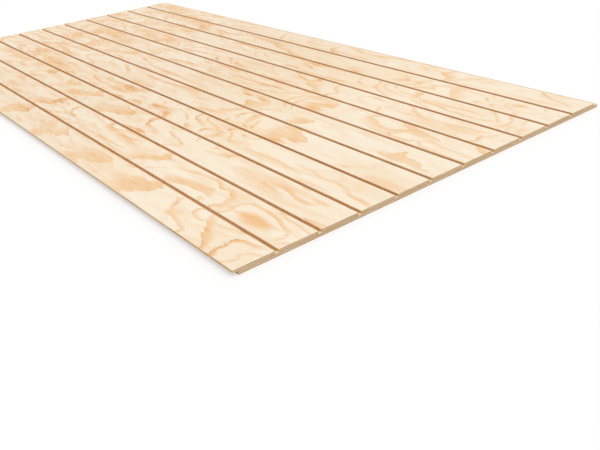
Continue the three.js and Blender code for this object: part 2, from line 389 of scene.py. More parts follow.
        (22, (478, 0, 50), (458, 11), (432, 21, 55), (412, 27), (421, 37), (436, 47, 50), (428, 57, 40),
         (405, 66), (386, 76, 45), (372, 90, 30)),
        (20, (520, 8, 40), (500, 20, 50), (484, 32), (488, 46), (495, 58, 45), (484, 70, 40),
         (476, 86, 30)),
        (24, (590, 18, 30), (565, 24, 50), (550, 30), (537, 38), (545, 50), (553, 62, 40),
         (560, 74, 20)),
        (16, (728, 12, 40), (742, 17, 70), (758, 18), (770, 12, 50), (776, 4, 30)),
        (12, (990, 2, 40), (1040, 8, 50), (1085, 13, 55), (1115, 21, 80), (1138, 30, 60),
         (1165, 40, 20)),
        (30, (1480, 78, 30), (1430, 70, 45), (1380, 64), (1320, 60), (1280, 56, 50), (1255, 45, 55),
         (1225, 34), (1190, 27, 40), (1150, 22, 20)),
        (10, (1140, 88, 30), (1160, 80, 40), (1190, 72, 35), (1215, 66, 20)),
        (8, (1415, 56, 30), (1398, 46, 40), (1382, 34, 30)),
        (18, (1490, 80, 30), (1520, 72, 50), (1555, 60), (1590, 54, 55), (1625, 56, 70), (1655, 58, 50),
         (1690, 66, 30)),
        (16, (1660, 42, 45), (1630, 28, 40), (1600, 14, 50), (1575, 2, 40)),
        (80, (1980, 78, 20), (1930, 62, 45), (1880, 68, 50), (1835, 62), (1812, 46, 55), (1795, 28),
         (1775, 12, 40), (1760, 0)),
        (70, (2110, 72, 40), (2085, 82, 45), (2030, 88), (1975, 84, 30)),
        (16, (2040, 12, 20), (2070, 26, 50), (2100, 38), (2120, 52, 25)),
        (90, (2330, 40, 20), (2270, 46, 40), (2220, 60), (2160, 74), (2120, 90, 35)),
    ),
    (  # board 11
        (10, (175, 96, 12), (158, 86, 50), (148, 80, 60), (135, 70), (118, 61, 55), (103, 53),
         (80, 47, 50), (52, 43, 45), (28, 31, 30)),
        (10, (60, 20, 15), (120, 26, 40), (170, 28), (210, 22, 35), (260, 14, 20)),
        (30, (508, 101, 40), (502, 88, 45), (509, 76), (519, 66, 60), (513, 56), (498, 45),
         (478, 37, 50), (468, 22), (463, 3, 45)),
        (20, (378, 101, 35), (386, 86, 40), (402, 70), (422, 52, 35), (440, 36, 20)),
        (12, (640, 101, 30), (610, 94, 45), (585, 86), (560, 86, 40), (540, 92, 25)),
        (14, (1000, 78, 25), (945, 76, 40), (925, 70, 50), (895, 60, 40), (850, 62), (800, 70, 45),
         (760, 80), (725, 86, 50), (690, 87), (660, 94, 30)),
        (8, (1010, 20, 50), (985, 10, 40), (965, 2, 30)),
        (22, (1045, 48, 25), (1038, 36, 50), (1022, 20), (1000, 6, 45)),
        (12, (1070, 62, 20), (1095, 52, 40), (1125, 42), (1145, 30, 20)),
        (14, (1362, 76, 25), (1360, 58, 50), (1350, 40), (1332, 18, 45), (1322, 2, 30)),
        (60, (1760, 62, 20), (1700, 68, 35), (1650, 78), (1610, 92, 30)),
        (50, (1950, 64, 20), (1900, 66, 45), (1860, 76), (1840, 92, 30)),
        (80, (2330, 34, 40), (2280, 30, 45), (2230, 20), (2180, 10, 35), (2140, 0)),
    ),
)

# Soft patches of latewood on each board: the middle, half the length and half the width in
# mm, and the strength in percent.
PATCHES = (
    ((60, 35, 22, 20, 12), (296, 46, 42, 20, 36), (150, 60, 45, 30, 16), (520, 50, 50, 30, 15),
     (800, 12, 50, 10, 30), (1120, 60, 60, 10, 20)),
    ((130, 34, 78, 27, 80), (238, 30, 22, 52, 34), (330, 92, 80, 8, 25), (240, 82, 70, 16, 28),
     (90, 88, 80, 9, 22), (610, 62, 28, 14, 35), (800, 62, 120, 15, 40), (900, 72, 60, 9, 35),
     (980, 80, 60, 9, 30), (690, 20, 40, 10, 20), (1370, 82, 60, 12, 40), (1540, 15, 80, 14, 40),
     (1640, 35, 80, 16, 40)),
    ((130, 52, 40, 10, 35), (100, 75, 38, 13, 35), (310, 48, 115, 32, 46), (250, 40, 30, 9, 35),
     (362, 60, 60, 14, 42), (230, 75, 170, 20, 30), (230, 22, 190, 20, 26), (528, 62, 46, 12, 32),
     (790, 32, 44, 13, 30), (562, 20, 20, 8, 20), (765, 86, 32, 7, 40), (735, 95, 20, 6, 35),
     (850, 6, 50, 8, 30), (1350, 42, 60, 8, 35), (1430, 10, 40, 7, 30), (1670, 78, 40, 14, 40),
     (1745, 60, 60, 12, 25), (1950, 8, 90, 8, 25)),
    ((190, 10, 80, 10, 42), (140, 8, 40, 7, 25), (380, 30, 190, 24, 34), (500, 50, 60, 20, 18),
     (40, 35, 40, 8, 25), (490, 15, 12, 12, 30), (560, 5, 14, 9, 40), (612, 30, 14, 26, 30),
     (735, 22, 14, 10, 35), (715, 95, 26, 8, 35), (880, 97, 26, 7, 35), (865, 36, 18, 7, 25),
     (1020, 60, 26, 6, 30), (970, 42, 50, 12, 40), (1180, 8, 40, 7, 40), (1220, 66, 50, 16, 45),
     (1530, 84, 40, 8, 35), (1620, 8, 40, 8, 45), (1720, 64, 90, 14, 35), (1835, 10, 34, 10, 50),
     (1870, 80, 110, 14, 45), (1990, 74, 80, 12, 35), (2020, 5, 34, 6, 35), (2150, 13, 60, 8, 35),
     (2160, 78, 60, 8, 30), (2260, 50, 50, 10, 28)),
    ((55, 16, 100, 26, 44), (200, 20, 40, 9, 34), (20, 60, 34, 11, 18), (470, 8, 30, 10, 45),
     (920, 62, 90, 12, 24), (1030, 80, 90, 20, 34), (880, 31, 10, 6, 40), (832, 76, 12, 6, 25),
     (1050, 88, 60, 12, 35), (1230, 14, 110, 13, 50), (1140, 27, 50, 5, 30), (1280, 76, 50, 8, 30),
     (1550, 25, 38, 10, 40), (1510, 38, 20, 13, 35), (1420, 86, 60, 8, 30), (1960, 26, 50, 10, 30),
     (2160, 14, 44, 14, 35), (2150, 76, 40, 8, 28), (2260, 84, 50, 10, 28), (2340, 56, 60, 12, 28)),
    ((420, 14, 45, 10, 20), (480, 74, 90, 9, 32), (545, 12, 40, 14, 45), (528, 38, 44, 30, 48),
     (1250, 34, 190, 14, 22), (745, 35, 30, 25, 25), (755, 72, 16, 7, 35), (838, 73, 24, 6, 40),
     (1080, 50, 120, 25, 12), (1450, 58, 14, 10, 30), (1620, 8, 44, 9, 40), (1640, 88, 44, 12, 35),
     (1820, 12, 60, 12, 35), (1870, 76, 60, 18, 30), (1815, 90, 30, 8, 35), (2200, 72, 60, 8, 32),
     (2300, 68, 60, 8, 28), (2400, 55, 30, 14, 38)),
    ((205, 56, 55, 12, 40), (150, 46, 45, 13, 32), (90, 38, 60, 8, 20), (225, 72, 40, 12, 35),
     (478, 12, 15, 5, 35), (485, 50, 9, 5, 25), (470, 87, 70, 8, 38), (582, 12, 34, 14, 30),
     (560, 62, 34, 22, 28), (880, 92, 75, 8, 38), (1140, 90, 90, 8, 36), (957, 18, 9, 10, 30),
     (1260, 80, 42, 14, 38), (1130, 68, 190, 30, 24), (1440, 88, 14, 8, 35), (1590, 22, 40, 14, 25),
     (1625, 32, 22, 18, 30), (1870, 86, 16, 8, 35), (2130, 22, 30, 12, 28), (2270, 72, 34, 10, 38)),
    ((30, 4, 13, 8, 35), (160, 46, 90, 24, 32), (240, 25, 120, 22, 32), (300, 45, 100, 18, 32),
     (1000, 40, 120, 16, 20), (1200, 24, 170, 20, 30), (1080, 66, 190, 36, 22), (760, 58, 30, 9, 30),
     (765, 88, 20, 14, 40), (970, 70, 32, 32, 22), (1335, 84, 55, 9, 55), (1530, 85, 14, 5, 45),
     (1620, 83, 24, 5, 40), (1490, 22, 50, 8, 25), (1900, 30, 60, 10, 22), (2130, 38, 50, 9, 35),
     (2350, 15, 40, 14, 28)),
    ((22, 30, 16, 12, 25), (77, 5, 6, 9, 45), (465, 62, 26, 6, 30), (425, 75, 14, 20, 25),
     (650, 75, 12, 18, 15), (735, 16, 36, 8, 35), (925, 86, 36, 11, 30), (960, 22, 40, 8, 30),
     (1105, 20, 32, 7, 40), (1330, 42, 95, 7, 32), (1040, 84, 40, 7, 30), (1300, 91, 80, 8, 25),
     (1515, 80, 20, 14, 28), (1670, 36, 42, 6, 42), (1720, 46, 34, 7, 40), (1900, 10, 44, 8, 30),
     (1945, 84, 44, 10, 32), (2130, 76, 50, 12, 32), (2270, 24, 34, 10, 22)),
    ((140, 67, 36, 14, 60), (30, 50, 10, 40, 15), (300, 72, 30, 9, 30), (350, 50, 24, 40, 20),
     (635, 44, 38, 9, 42), (635, 22, 18, 10, 18), (755, 38, 55, 7, 28), (905, 18, 18, 14, 25),
     (950, 60, 40, 20, 20), (1265, 60, 40, 12, 30), (1240, 80, 90, 14, 30), (1710, 20, 60, 12, 35),
     (1780, 84, 50, 14, 30), (1915, 22, 34, 12, 28), (2310, 20, 40, 16, 25)),
    ((90, 94, 55, 7, 32), (208, 70, 20, 6, 38), (420, 14, 50, 10, 38), (425, 97, 30, 6, 30),
     (700, 93, 40, 6, 30), (1035, 86, 32, 8, 38), (1515, 18, 18, 8, 35), (1620, 84, 14, 4, 45),
     (1730, 20, 60, 12, 28), (1880, 26, 50, 12, 28), (1930, 88, 50, 8, 32), (2020, 78, 60, 10, 26),
     (2300, 78, 60, 12, 26)),
)

# Where small dark flecks lie, and where the cream is warmer, on the boards by number: spots
# with the same numbers as the patches.
FLECKS = {
    1: ((89, 14, 9, 7, 90), (100, 50, 8, 12, 80), (334, 70, 12, 9, 90), (487, 36, 9, 6, 70)),
    2: ((558, 77, 16, 7, 90), (575, 47, 9, 9, 70), (1122, 46, 32, 5, 80), (1288, 70, 20, 10, 70)),
    3: ((830, 15, 40, 6, 100), (858, 52, 11, 10, 100), (872, 74, 11, 14, 90)),
    4: ((757, 10, 12, 9, 90), (908, 22, 16, 11, 100), (557, 79, 11, 10, 90), (623, 82, 11, 13, 90),
        (985, 38, 32, 9, 100), (1225, 82, 44, 7, 100)),
    5: ((702, 68, 9, 9, 90),),
    6: ((755, 70, 20, 7, 100), (838, 72, 28, 8, 100), (785, 28, 10, 7, 80)),
    7: ((270, 18, 11, 6, 90), (835, 60, 16, 9, 100), (868, 56, 14, 10, 100), (905, 52, 24, 7, 90)),
    8: ((1275, 10, 24, 10, 90),),
    9: ((655, 42, 11, 5, 90),),
}
WARM_SPOTS = {
    1: ((95, 50, 130, 70, 12),),
    3: ((90, 30, 90, 22, 25),),
    4: ((50, 75, 150, 38, 40),),
    5: ((90, 45, 190, 60, 45),),
    8: ((200, 30, 200, 40, 25),),
}

# How many directions the noise draws from, and what its height is multiplied by.
LATTICE = 4096
LATTICE_GAIN = 1.5


def lattice_noise(u, v, seed):
    """Gradient noise of about -1 to 1, one cell to each unit of u and v."""
    random = np.random.default_rng(seed)
    angles = random.uniform(0, 2 * np.pi, LATTICE)
    order = random.permutation(LATTICE)
    cell_u, cell_v = np.floor(u).astype(int), np.floor(v).astype(int)
    in_u, in_v = u - cell_u, v - cell_v

    def corner(step_u, step_v):
        place = order[(order[(cell_u + step_u) % LATTICE] + cell_v + step_v) % LATTICE]
        return np.cos(angles[place]) * (in_u - step_u) + np.sin(angles[place]) * (in_v - step_v)

    ease_u = in_u ** 3 * (in_u * (in_u * 6 - 15) + 10)
    ease_v = in_v ** 3 * (in_v * (in_v * 6 - 15) + 10)
    near = corner(0, 0) * (1 - ease_u) + corner(1, 0) * ease_u
    far = corner(0, 1) * (1 - ease_u) + corner(1, 1) * ease_u
    return (near * (1 - ease_v) + far * ease_v) * LATTICE_GAIN


def smooth_step(low, high, value):
    """0 below low, 1 above high, eased between."""
    share = np.clip((value - low) / (high - low), 0, 1)
    return share * share * (3 - 2 * share)


CURVE_STEPS = 3


def curved(drawn):
    """A drawn edge's places and strengths, with a smooth curve through them."""
    rows = []
    strength = 0.0
    for place in drawn:
        strength = place[2] / 100 if len(place) == 3 else strength
        rows.append((place[0], place[1], strength))
    rows = np.array(rows)
    closed = np.array_equal(rows[0, :2], rows[-1, :2])
    before, after = (rows[-2], rows[1]) if closed else (rows[0], rows[-1])
    around = np.concatenate([[before], rows, [after]])
    share = np.arange(CURVE_STEPS)[:, None] / CURVE_STEPS
    pieces = []
    for a, b, c, d in zip(around, around[1:], around[2:], around[3:]):
        bend = (2 * a - 5 * b + 4 * c - d) * share ** 2 + (3 * b - a - 3 * c + d) * share ** 3
        pieces.append(b + 0.5 * ((c - a) * share + bend))
    return np.concatenate([*pieces, rows[-1:]]), closed


# A distance in mm beyond any on the sheet, and one that counts as none.
FAR_AWAY = 1e9
SAME_DISTANCE = 1e-6


def follow(edge, closed, along, across):
    """How places lie to an edge: distance (positive on its left), strength, slant, overshoot.

    Slant is how far the edge runs across the grain, 0 to 1; overshoot is how far the place
    lies past an open end.
    """
    nearest = np.full(along.shape, FAR_AWAY)
    side, strength, slant, past = (np.zeros(along.shape) for _ in range(4))
    last = len(edge) - 2
    for index, ((u0, v0, s0), (u1, v1, s1)) in enumerate(zip(edge, edge[1:])):
        du, dv = u1 - u0, v1 - v0
        length = math.hypot(du, dv)
        reach = ((along - u0) * du + (across - v0) * dv) / length
        share = np.clip(reach / length, 0, 1)
        gap = np.hypot(along - u0 - share * du, across - v0 - share * dv)
        lean = ((along - u0) * dv - (across - v0) * du) / length
        tied = (gap < nearest + SAME_DISTANCE) & (np.abs(lean) > np.abs(side))
        chosen = (gap < nearest - SAME_DISTANCE) | tied
        nearest[chosen] = gap[chosen]
        side[chosen] = lean[chosen]
        strength[chosen] = (s0 + share * (s1 - s0))[chosen]
        slant[chosen] = abs(dv) / length
        beyond = np.zeros(along.shape)
        if index == 0 and not closed:
            beyond = np.maximum(beyond, -reach)
        if index == last and not closed:
            beyond = np.maximum(beyond, reach - length)
        past[chosen] = beyond[chosen]
    return np.sign(side) * nearest, strength, slant, past


# How an edge's colour is laid: the share of its reach that keeps full strength, how that
# reach wanders and over what lengths in metres (along and across), the factor and mm by which
# it is longer than drawn, the mm and share of it over which it goes past an open end, and how
# far it is kept on the plain side for the teeth to use, in mm.
FADE_FROM = 0.3
FADE_WANDER = 0.35
WANDER_LENGTHS = (0.045, 0.02)
WANDER_SEED = 201
FADE_LENGTHEN = (1.35, 2.0)
END_FADE = (6.0, 0.35)
PLAIN_SIDE = (6.0, 11.0)
EDGE_LIMIT = 9.0
# How far teeth reach, in mm: along the grain, and how much more across it.
TOOTH_LEAST = 0.8
TOOTH_ACROSS = 2.6
LAYERS = 2
# How spots drift from their ovals, along and across: mm, lengths in metres, and seed. Then the
# shares of a spot's size between which it fades.
DRIFT_ALONG = (14, 0.06, 0.018, 211)
DRIFT_ACROSS = (5, 0.08, 0.024, 212)
SPOT_FADE = (0.25, 1.15)
# In metres from the near end: where seeded growth rings join the drawn figure, where painted
# shade darkens the face towards the far end, where the drawn figure deepens, and by how much;
# and how warm the cream is at so many metres.
RINGS_JOIN = (1.35, 2.1)
FAR_SHADE_RAMP = (0.45, 1.2)
DEEPENING = (0.6, 1.0)
FAR_DEPTH = 0.28
WARMTH = ((0.0, 0.16), (0.15, 0.36), (0.32, 0.1), (0.44, 0.15), (0.6, 0.42), (2.44, 0.3))


def drift(x, y, size, along, across, seed):
    """How far places x, y are pushed aside, by noise of so many metres along and across."""
    return size * lattice_noise(y / along, x / across, seed)


def spotted(spots, along, across):
    """How strongly the strongest of some soft, long spots shows at each place."""
    shown = np.zeros(along.shape)
    for middle_u, middle_v, half_u, half_v, strength in spots:
        away = np.hypot((along - middle_u) / half_u, (across - middle_v) / half_v)
        shown = np.maximum(shown, strength / 100 * (1 - smooth_step(*SPOT_FADE, away)))
    return shown


def face_attributes(board, x, y):
    """The drawn figure of one board at places x, y: layers of edges, soft patches and flecks."""
    along, across = (y - LOW.y) * 1000, (x - LOW.x - board * PITCH) * 1000
    edges = [np.full(along.shape, -EDGE_LIMIT) for _ in range(LAYERS)]
    paints = [np.zeros(along.shape) for _ in range(LAYERS)]
    wander = 1 + drift(x, y, FADE_WANDER, *WANDER_LENGTHS, WANDER_SEED)
    for drawn_fade, *drawn in EDGES[board]:
        fade = drawn_fade * FADE_LENGTHEN[0] + FADE_LENGTHEN[1]
        edge, closed = curved(drawn)
        margin = fade * (1 + FADE_WANDER) + PLAIN_SIDE[1]
        low, high = edge[:, :2].min(axis=0) - margin, edge[:, :2].max(axis=0) + margin
        near = (along > low[0]) & (along < high[0]) & (across > low[1]) & (across < high[1])
        if not near.any():
            continue
        distance, strength, slant, past = follow(edge, closed, along[near], across[near])
        reach = fade * wander[near]
        inside = 1 - smooth_step(FADE_FROM * reach, reach, distance)
        outside = 1 - smooth_step(*PLAIN_SIDE, -distance)
        paint = strength * np.where(distance > 0, inside, outside)
        paint = paint * (1 - smooth_step(0, END_FADE[0] + END_FADE[1] * fade, past))
        paint = paint * (1 + FAR_DEPTH * smooth_step(*DEEPENING, y[near] - LOW.y))
        tooth = TOOTH_LEAST + TOOTH_ACROSS * slant ** 2
        line = np.clip(distance, -EDGE_LIMIT, EDGE_LIMIT) / tooth
        crowding = [np.minimum(layer[near], paint).sum() for layer in paints]
        layer = int(np.argmin(crowding))
        stronger = paint > paints[layer][near]
        places = np.flatnonzero(near)[stronger]
        paints[layer][places] = paint[stronger]
        edges[layer][places] = line[stronger]
    drifted = along + drift(x, y, *DRIFT_ALONG), across + drift(x, y, *DRIFT_ACROSS)
    attributes = {
        "cloud": spotted(PATCHES[board], *drifted),
        "flecked": spotted(FLECKS.get(board + 1, ()), along, across),
        "wild": smooth_step(*RINGS_JOIN, y - LOW.y),
        "warmth": np.interp(y - LOW.y, *zip(*WARMTH)) + spotted(WARM_SPOTS.get(board + 1, ()), *drifted),
        # Painted shade: the face darker towards the far end.
        "far_shade": smooth_step(*FAR_SHADE_RAMP, y - LOW.y),
    }
    for layer in range(LAYERS):
        attributes[f"edge_{layer + 1}"] = edges[layer]
        attributes[f"paint_{layer + 1}"] = paints[layer]
    return attributes


# Swells of the growth rings under the knife: wavelengths along and across the grain in
# metres, and height in rings. Then the cell that their noise starts from, along and across.
RING_SWELLS = ((0.56, 0.19, 1.6), (0.27, 0.11, 1.1), (0.13, 0.052, 0.46), (0.066, 0.028, 0.14))
RING_CELL = (3, 5)
FACE_RINGS_SEED = 11
BACK_RINGS_SEED = 21
RING_BASE = 10.0


def rings(x, y, seed):
    """Ring height of natural swells."""
    height = np.full(np.shape(x), RING_BASE)
    for octave, (along, across, size) in enumerate(RING_SWELLS):
        cells = (y / along + RING_CELL[0], x / across + RING_CELL[1])
        height = height + size * lattice_noise(*cells, seed + octave)
    return height


# How many rings the teeth of an edge reach: metres along and across the grain, least, most.
# Then over what step a slope is measured, in metres, and the least slope.
REACH_ALONG = 0.011
REACH_ACROSS = 0.0016
REACH_LEAST = 0.006
REACH_MOST = 0.45
SLOPE_STEP = 0.003
SLOPE_LEAST = 2.0


def ring_attributes(x, y, seed):
    """Ring height, its slope in rings a metre, and how many rings the teeth of an edge reach."""
    step = SLOPE_STEP
    along = np.abs(rings(x, y + step, seed) - rings(x, y - step, seed)) / (2 * step)
    across = np.abs(rings(x + step, y, seed) - rings(x - step, y, seed)) / (2 * step)
    reach = REACH_LEAST + along * REACH_ALONG + across * REACH_ACROSS
    return {
        "rings": rings(x, y, seed),
        "teeth": np.minimum(reach, REACH_MOST),
        "slope": np.maximum(np.hypot(along, across), SLOPE_LEAST),
    }


# ---------------------------------------------------------------- meshes

# The bake map: its name, the share of room that hidden sides get, and the gap between parts.
MAP_NAME = "OFBake"
HIDDEN_SHARE = 0.03
MAP_GAP = 0.0012
# The bevel of a ply's edges, which shows the joints between plies.
JOINT_BEVEL = 0.00012
SHARP_ANGLE = math.radians(30)
# The order of the materials on a face board, the core, a crossband and the back.
BOARD_FACE, BOARD_WALL, BOARD_END, BOARD_EDGE = range(4)
CORE_EDGE, CORE_END, CORE_FLOOR, CORE_TONGUE = range(4)
BAND_EDGE, BAND_END = range(2)
BACK_EDGES, BACK_FACE, BACK_END = range(3)


def map_places(bars):
    """Lays the long, thin faces of the bars in folds on one square map.

    Returns for each bar the map places of its side faces and of its cap cells. Hidden
    sides take next to no room.
    """
    widths = []
    for bar in bars:
        steps = np.roll(bar["points"], -1, axis=1) - bar["points"]
        edge = np.hypot(steps[..., 0], steps[..., 2]).max(axis=0)
        edge = edge * np.where(bar["hidden"], HIDDEN_SHARE, 1.0)
        widths.append(np.concatenate([[0.0], np.cumsum(edge)]))
    block = sum(width[-1] + MAP_GAP for width in widths)
    stations = bars[0]["points"][:, :, 1].mean(axis=1)
    length = stations[-1] - stations[0]
    folds = max(1, round(math.sqrt(length / block)))
    per_fold = math.ceil((len(stations) - 1) / folds)
    starts = range(0, len(stations) - 1, per_fold)
    ends = [min(start + per_fold, len(stations) - 1) for start in starts]
    fold_length = max(stations[end] - stations[start] for start, end in zip(starts, ends))
    rows = np.arange(len(stations) - 1)
    fold = rows // per_fold
    start = stations[fold * per_fold]
    places = []
    base = 0.0
    for bar, width in zip(bars, widths):
        lower = base + fold[:, None] * block + width[None, :-1]
        upper = base + fold[:, None] * block + width[None, 1:]
        near = np.broadcast_to((stations[:-1] - start)[:, None], lower.shape)
        far = np.broadcast_to((stations[1:] - start)[:, None], lower.shape)
        corners = [(near, lower), (far, lower), (far, upper), (near, upper)]
        corners = np.stack([np.stack(pair, axis=-1) for pair in corners], axis=2)
        places.append({"sides": corners.reshape(-1, 4, 2), "caps": []})
        base += width[-1] + MAP_GAP
    shelf_u, shelf_v = 0.0, folds * block
    widest, tallest = fold_length, shelf_v
    for bar, place in zip(bars, places):
        for row in (0, -1):
            for cell in bar["cells"]:
                corners = bar["points"][row, cell][:, [0, 2]]
                corners = corners - corners.min(axis=0)
                size = corners.max(axis=0)
                if shelf_u > 0 and shelf_u + size[0] > fold_length:
                    shelf_u = 0.0
                    shelf_v += PLY + MAP_GAP
                place["caps"].append(corners + [shelf_u, shelf_v])
                shelf_u += size[0] + MAP_GAP
                widest = max(widest, shelf_u)
                tallest = max(tallest, shelf_v + size[1])
    room = max(widest, tallest) + 2 * MAP_GAP
    for place in places:
        place["sides"] = (place["sides"] + MAP_GAP) / room
        place["caps"] = [(corners + MAP_GAP) / room for corners in place["caps"]]
    return places


def make_bar(points, side_slots, cap_slot, hidden=(), cells=None):
    """One closed bar: points[row, corner] are its sections, anticlockwise seen along +Y."""
    corners = points.shape[1]
    shut = np.zeros(corners, bool)
    shut[list(hidden)] = True
    return {
        "points": points,
        "side_slots": np.asarray(side_slots),
        "cap_slot": cap_slot,
        "hidden": shut,
        "cells": cells or [list(range(corners))],
    }


def bars_object(name, bars, materials, figure=None):
    """A mesh object of closed bars, with its bake map and the attributes of its figure."""
    vertices, faces, slots, places = [], [], [], []
    first = 0
    for bar, place in zip(bars, map_places(bars)):
        rows, corners, _ = bar["points"].shape
        vertices.append(bar["points"].reshape(-1, 3))
        row, corner = np.meshgrid(np.arange(rows - 1), np.arange(corners), indexing="ij")
        after = (corner + 1) % corners
        quads = [
            row * corners + corner,
            (row + 1) * corners + corner,
            (row + 1) * corners + after,
            row * corners + after,
        ]
        faces.extend((np.stack(quads, axis=-1).reshape(-1, 4) + first).tolist())
        slots.append(np.tile(bar["side_slots"], rows - 1))
        places.append(place["sides"].reshape(-1, 2))
        caps = iter(place["caps"])
        for base, step in ((first, 1), (first + (rows - 1) * corners, -1)):
            for cell in bar["cells"]:
                faces.append([base + corner for corner in cell][::step])
                places.append(next(caps)[::step])
                slots.append([bar["cap_slot"]])
        first += rows * corners
    mesh = bpy.data.meshes.new(name)
    vertices = np.concatenate(vertices)
    mesh.from_pydata(vertices.tolist(), [], faces)
    mesh.polygons.foreach_set("material_index", np.concatenate(slots).astype(np.int32))
    mesh.polygons.foreach_set("use_smooth", np.ones(len(faces), bool))
    layer = mesh.uv_layers.new(name=MAP_NAME)
    layer.uv.foreach_set("vector", np.concatenate(places).astype(np.float32).ravel())
    mesh.set_sharp_from_angle(angle=SHARP_ANGLE)
    if figure is not None:
        for title, values in figure(vertices[:, 0], vertices[:, 1]).items():
            add_attribute(mesh, title, values)
    for material in materials:
        mesh.materials.append(material)
    mesh.update()
    piece = bpy.data.objects.new(name, mesh)
    bpy.context.scene.collection.objects.link(piece)
    return piece


def add_attribute(mesh, name, values):
    """A number for each vertex, which a material can read by name."""
    data = mesh.attributes.new(name, "FLOAT", "POINT").data
    data.foreach_set("value", values.astype(np.float32))


def stations_along(step):
    """Places along the sheet for the rows of a mesh, with a bevel's width at each end."""
    inner = np.linspace(LOW.y, HIGH.y, round(LENGTH / step) + 1)[1:-1]
    return np.array([LOW.y, LOW.y + JOINT_BEVEL, *inner, HIGH.y - JOINT_BEVEL, HIGH.y])


def swept(outlines, stations):
    """Joins (rows, corners, 2) outlines and their stations to points, and eases both ends."""
    outlines = outlines.copy()
    low = outlines.min(axis=1, keepdims=True) + JOINT_BEVEL
    high = outlines.max(axis=1, keepdims=True) - JOINT_BEVEL
    for row in (0, -1):
        outlines[row] = np.clip(outlines[row], low[row], high[row])
    across = np.broadcast_to(stations[:, None], outlines.shape[:2])
    return np.stack([outlines[..., 0], across, outlines[..., 1]], axis=-1)


def steady(outline, stations):
    """The same outline at every station."""
    outline = np.array(outline)
    return np.broadcast_to(outline, (len(stations), *outline.shape))


def slab_outline(low_x, high_x, bottom, top, under, over=()):
    """A flat ply's bevelled section, with extra corners on its underside and its top."""
    outline = [(low_x, bottom + JOINT_BEVEL), (low_x + JOINT_BEVEL, bottom)]
    outline += [(x, bottom) for x in under]
    outline += [(high_x - JOINT_BEVEL, bottom), (high_x, bottom + JOINT_BEVEL)]
    outline += [(high_x, top - JOINT_BEVEL), (high_x - JOINT_BEVEL, top)]
    outline += [(x, top) for x in over]
    return outline + [(low_x + JOINT_BEVEL, top), (low_x, top - JOINT_BEVEL)]


def slab_sides(under, over=()):
    """The sides of such a section that lie on its underside, and those on its top."""
    top = 5 + len(under)
    return list(range(1, 2 + len(under))), list(range(top, top + 1 + len(over)))


# The face's mesh: rows along a board, columns across it, and steps round an arris.
FACE_STEP = 0.0035
FACE_COLUMNS = 24
ARC_STEPS = 4
# Its waves: depth, lengths along and across, and seed. Then the wear of an arris: size, length
# along, row of noise and seed; and its chips: length along, the noise that a chip starts from,
# depth, limit, row of noise and seed.
FACE_WAVE = 0.00012
WAVE_LENGTHS = (0.31, 0.17)
WAVE_SEED = 71
WEAR = 0.00015
WEAR_LENGTH = 0.03
WEAR_ROW = 0.5
WEAR_SEED = 40
CHIP_LENGTH = 0.026
CHIP_FROM = 0.42
CHIP_DEPTH = 0.0045
CHIP_LIMIT = 0.0011
CHIP_ROW = 7.5
CHIP_SEED = 140


def arris_radius(y, x):
    """Radius of the face's eased edge along the board: worn evenly, with a few chips."""
    edge = round((x - LOW.x) / PITCH * 2)
    wear = WEAR * lattice_noise(y / WEAR_LENGTH, np.full(len(y), WEAR_ROW), WEAR_SEED + edge)
    chips = lattice_noise(y / CHIP_LENGTH, np.full(len(y), CHIP_ROW), CHIP_SEED + edge)
    chips = np.clip(chips - CHIP_FROM, 0, None) * CHIP_DEPTH
    return ARRIS_RADIUS + wear + np.minimum(chips, CHIP_LIMIT)


def face_strip(board):
    """One board of the face veneer, between two grooves."""
    left = LOW.x + board * PITCH
    right = left + STRIP
    y = stations_along(FACE_STEP)
    bottom = PLY_TOPS[3]
    radius_left, radius_right = arris_radius(y, left), arris_radius(y, right)
    bend = np.linspace(0, math.pi / 2, ARC_STEPS + 1)
    rows = len(y)
    corners = []

    def put(x, z):
        corners.append(np.stack([np.broadcast_to(x, rows), np.broadcast_to(z, rows)], -1))

    def face_height(x):
        dip = lattice_noise(y / WAVE_LENGTHS[0], np.zeros(rows) + x / WAVE_LENGTHS[1], WAVE_SEED)
        dip = 0.5 + 0.5 * dip
        return THICKNESS - FACE_WAVE * np.clip(dip, 0, 1)

    put(left + JOINT_BEVEL, bottom)
    put(right - JOINT_BEVEL, bottom)
    put(right, bottom + JOINT_BEVEL)
    for angle in bend:
        x = right - radius_right * (1 - math.cos(angle))
        put(x, face_height(right) - radius_right * (1 - math.sin(angle)))
    for share in np.linspace(1, 0, FACE_COLUMNS + 1)[1:-1]:
        x = (left + radius_left) * (1 - share) + (right - radius_right) * share
        put(x, face_height(left + STRIP * share))
    for angle in bend[::-1]:
        x = left + radius_left * (1 - math.cos(angle))
        put(x, face_height(left) - radius_left * (1 - math.sin(angle)))
    put(left, bottom + JOINT_BEVEL)
    outlines = np.stack(corners, axis=1)
    side_slots = np.full(len(corners), BOARD_FACE)
    side_slots[[0, 1, 2, -2, -1]] = BOARD_WALL
    if board == 0:
        side_slots[[-2, -1]] = BOARD_EDGE
    if board == BOARDS - 1:
        side_slots[[1, 2]] = BOARD_EDGE
    return make_bar(swept(outlines, y), side_slots, BOARD_END, hidden=(0,))


# The rows of the upper crossband and the core, and the steps of their fillets.
CORE_STEP = 0.01
FILLET_STEPS = 3


def root_spread(z):
    """How far a groove's fillet reaches out from its wall at height z."""
    rise = min(max(GROOVE_FLOOR + ROOT_RADIUS - z, 0), ROOT_RADIUS)
    return ROOT_RADIUS - math.sqrt(ROOT_RADIUS ** 2 - rise ** 2)


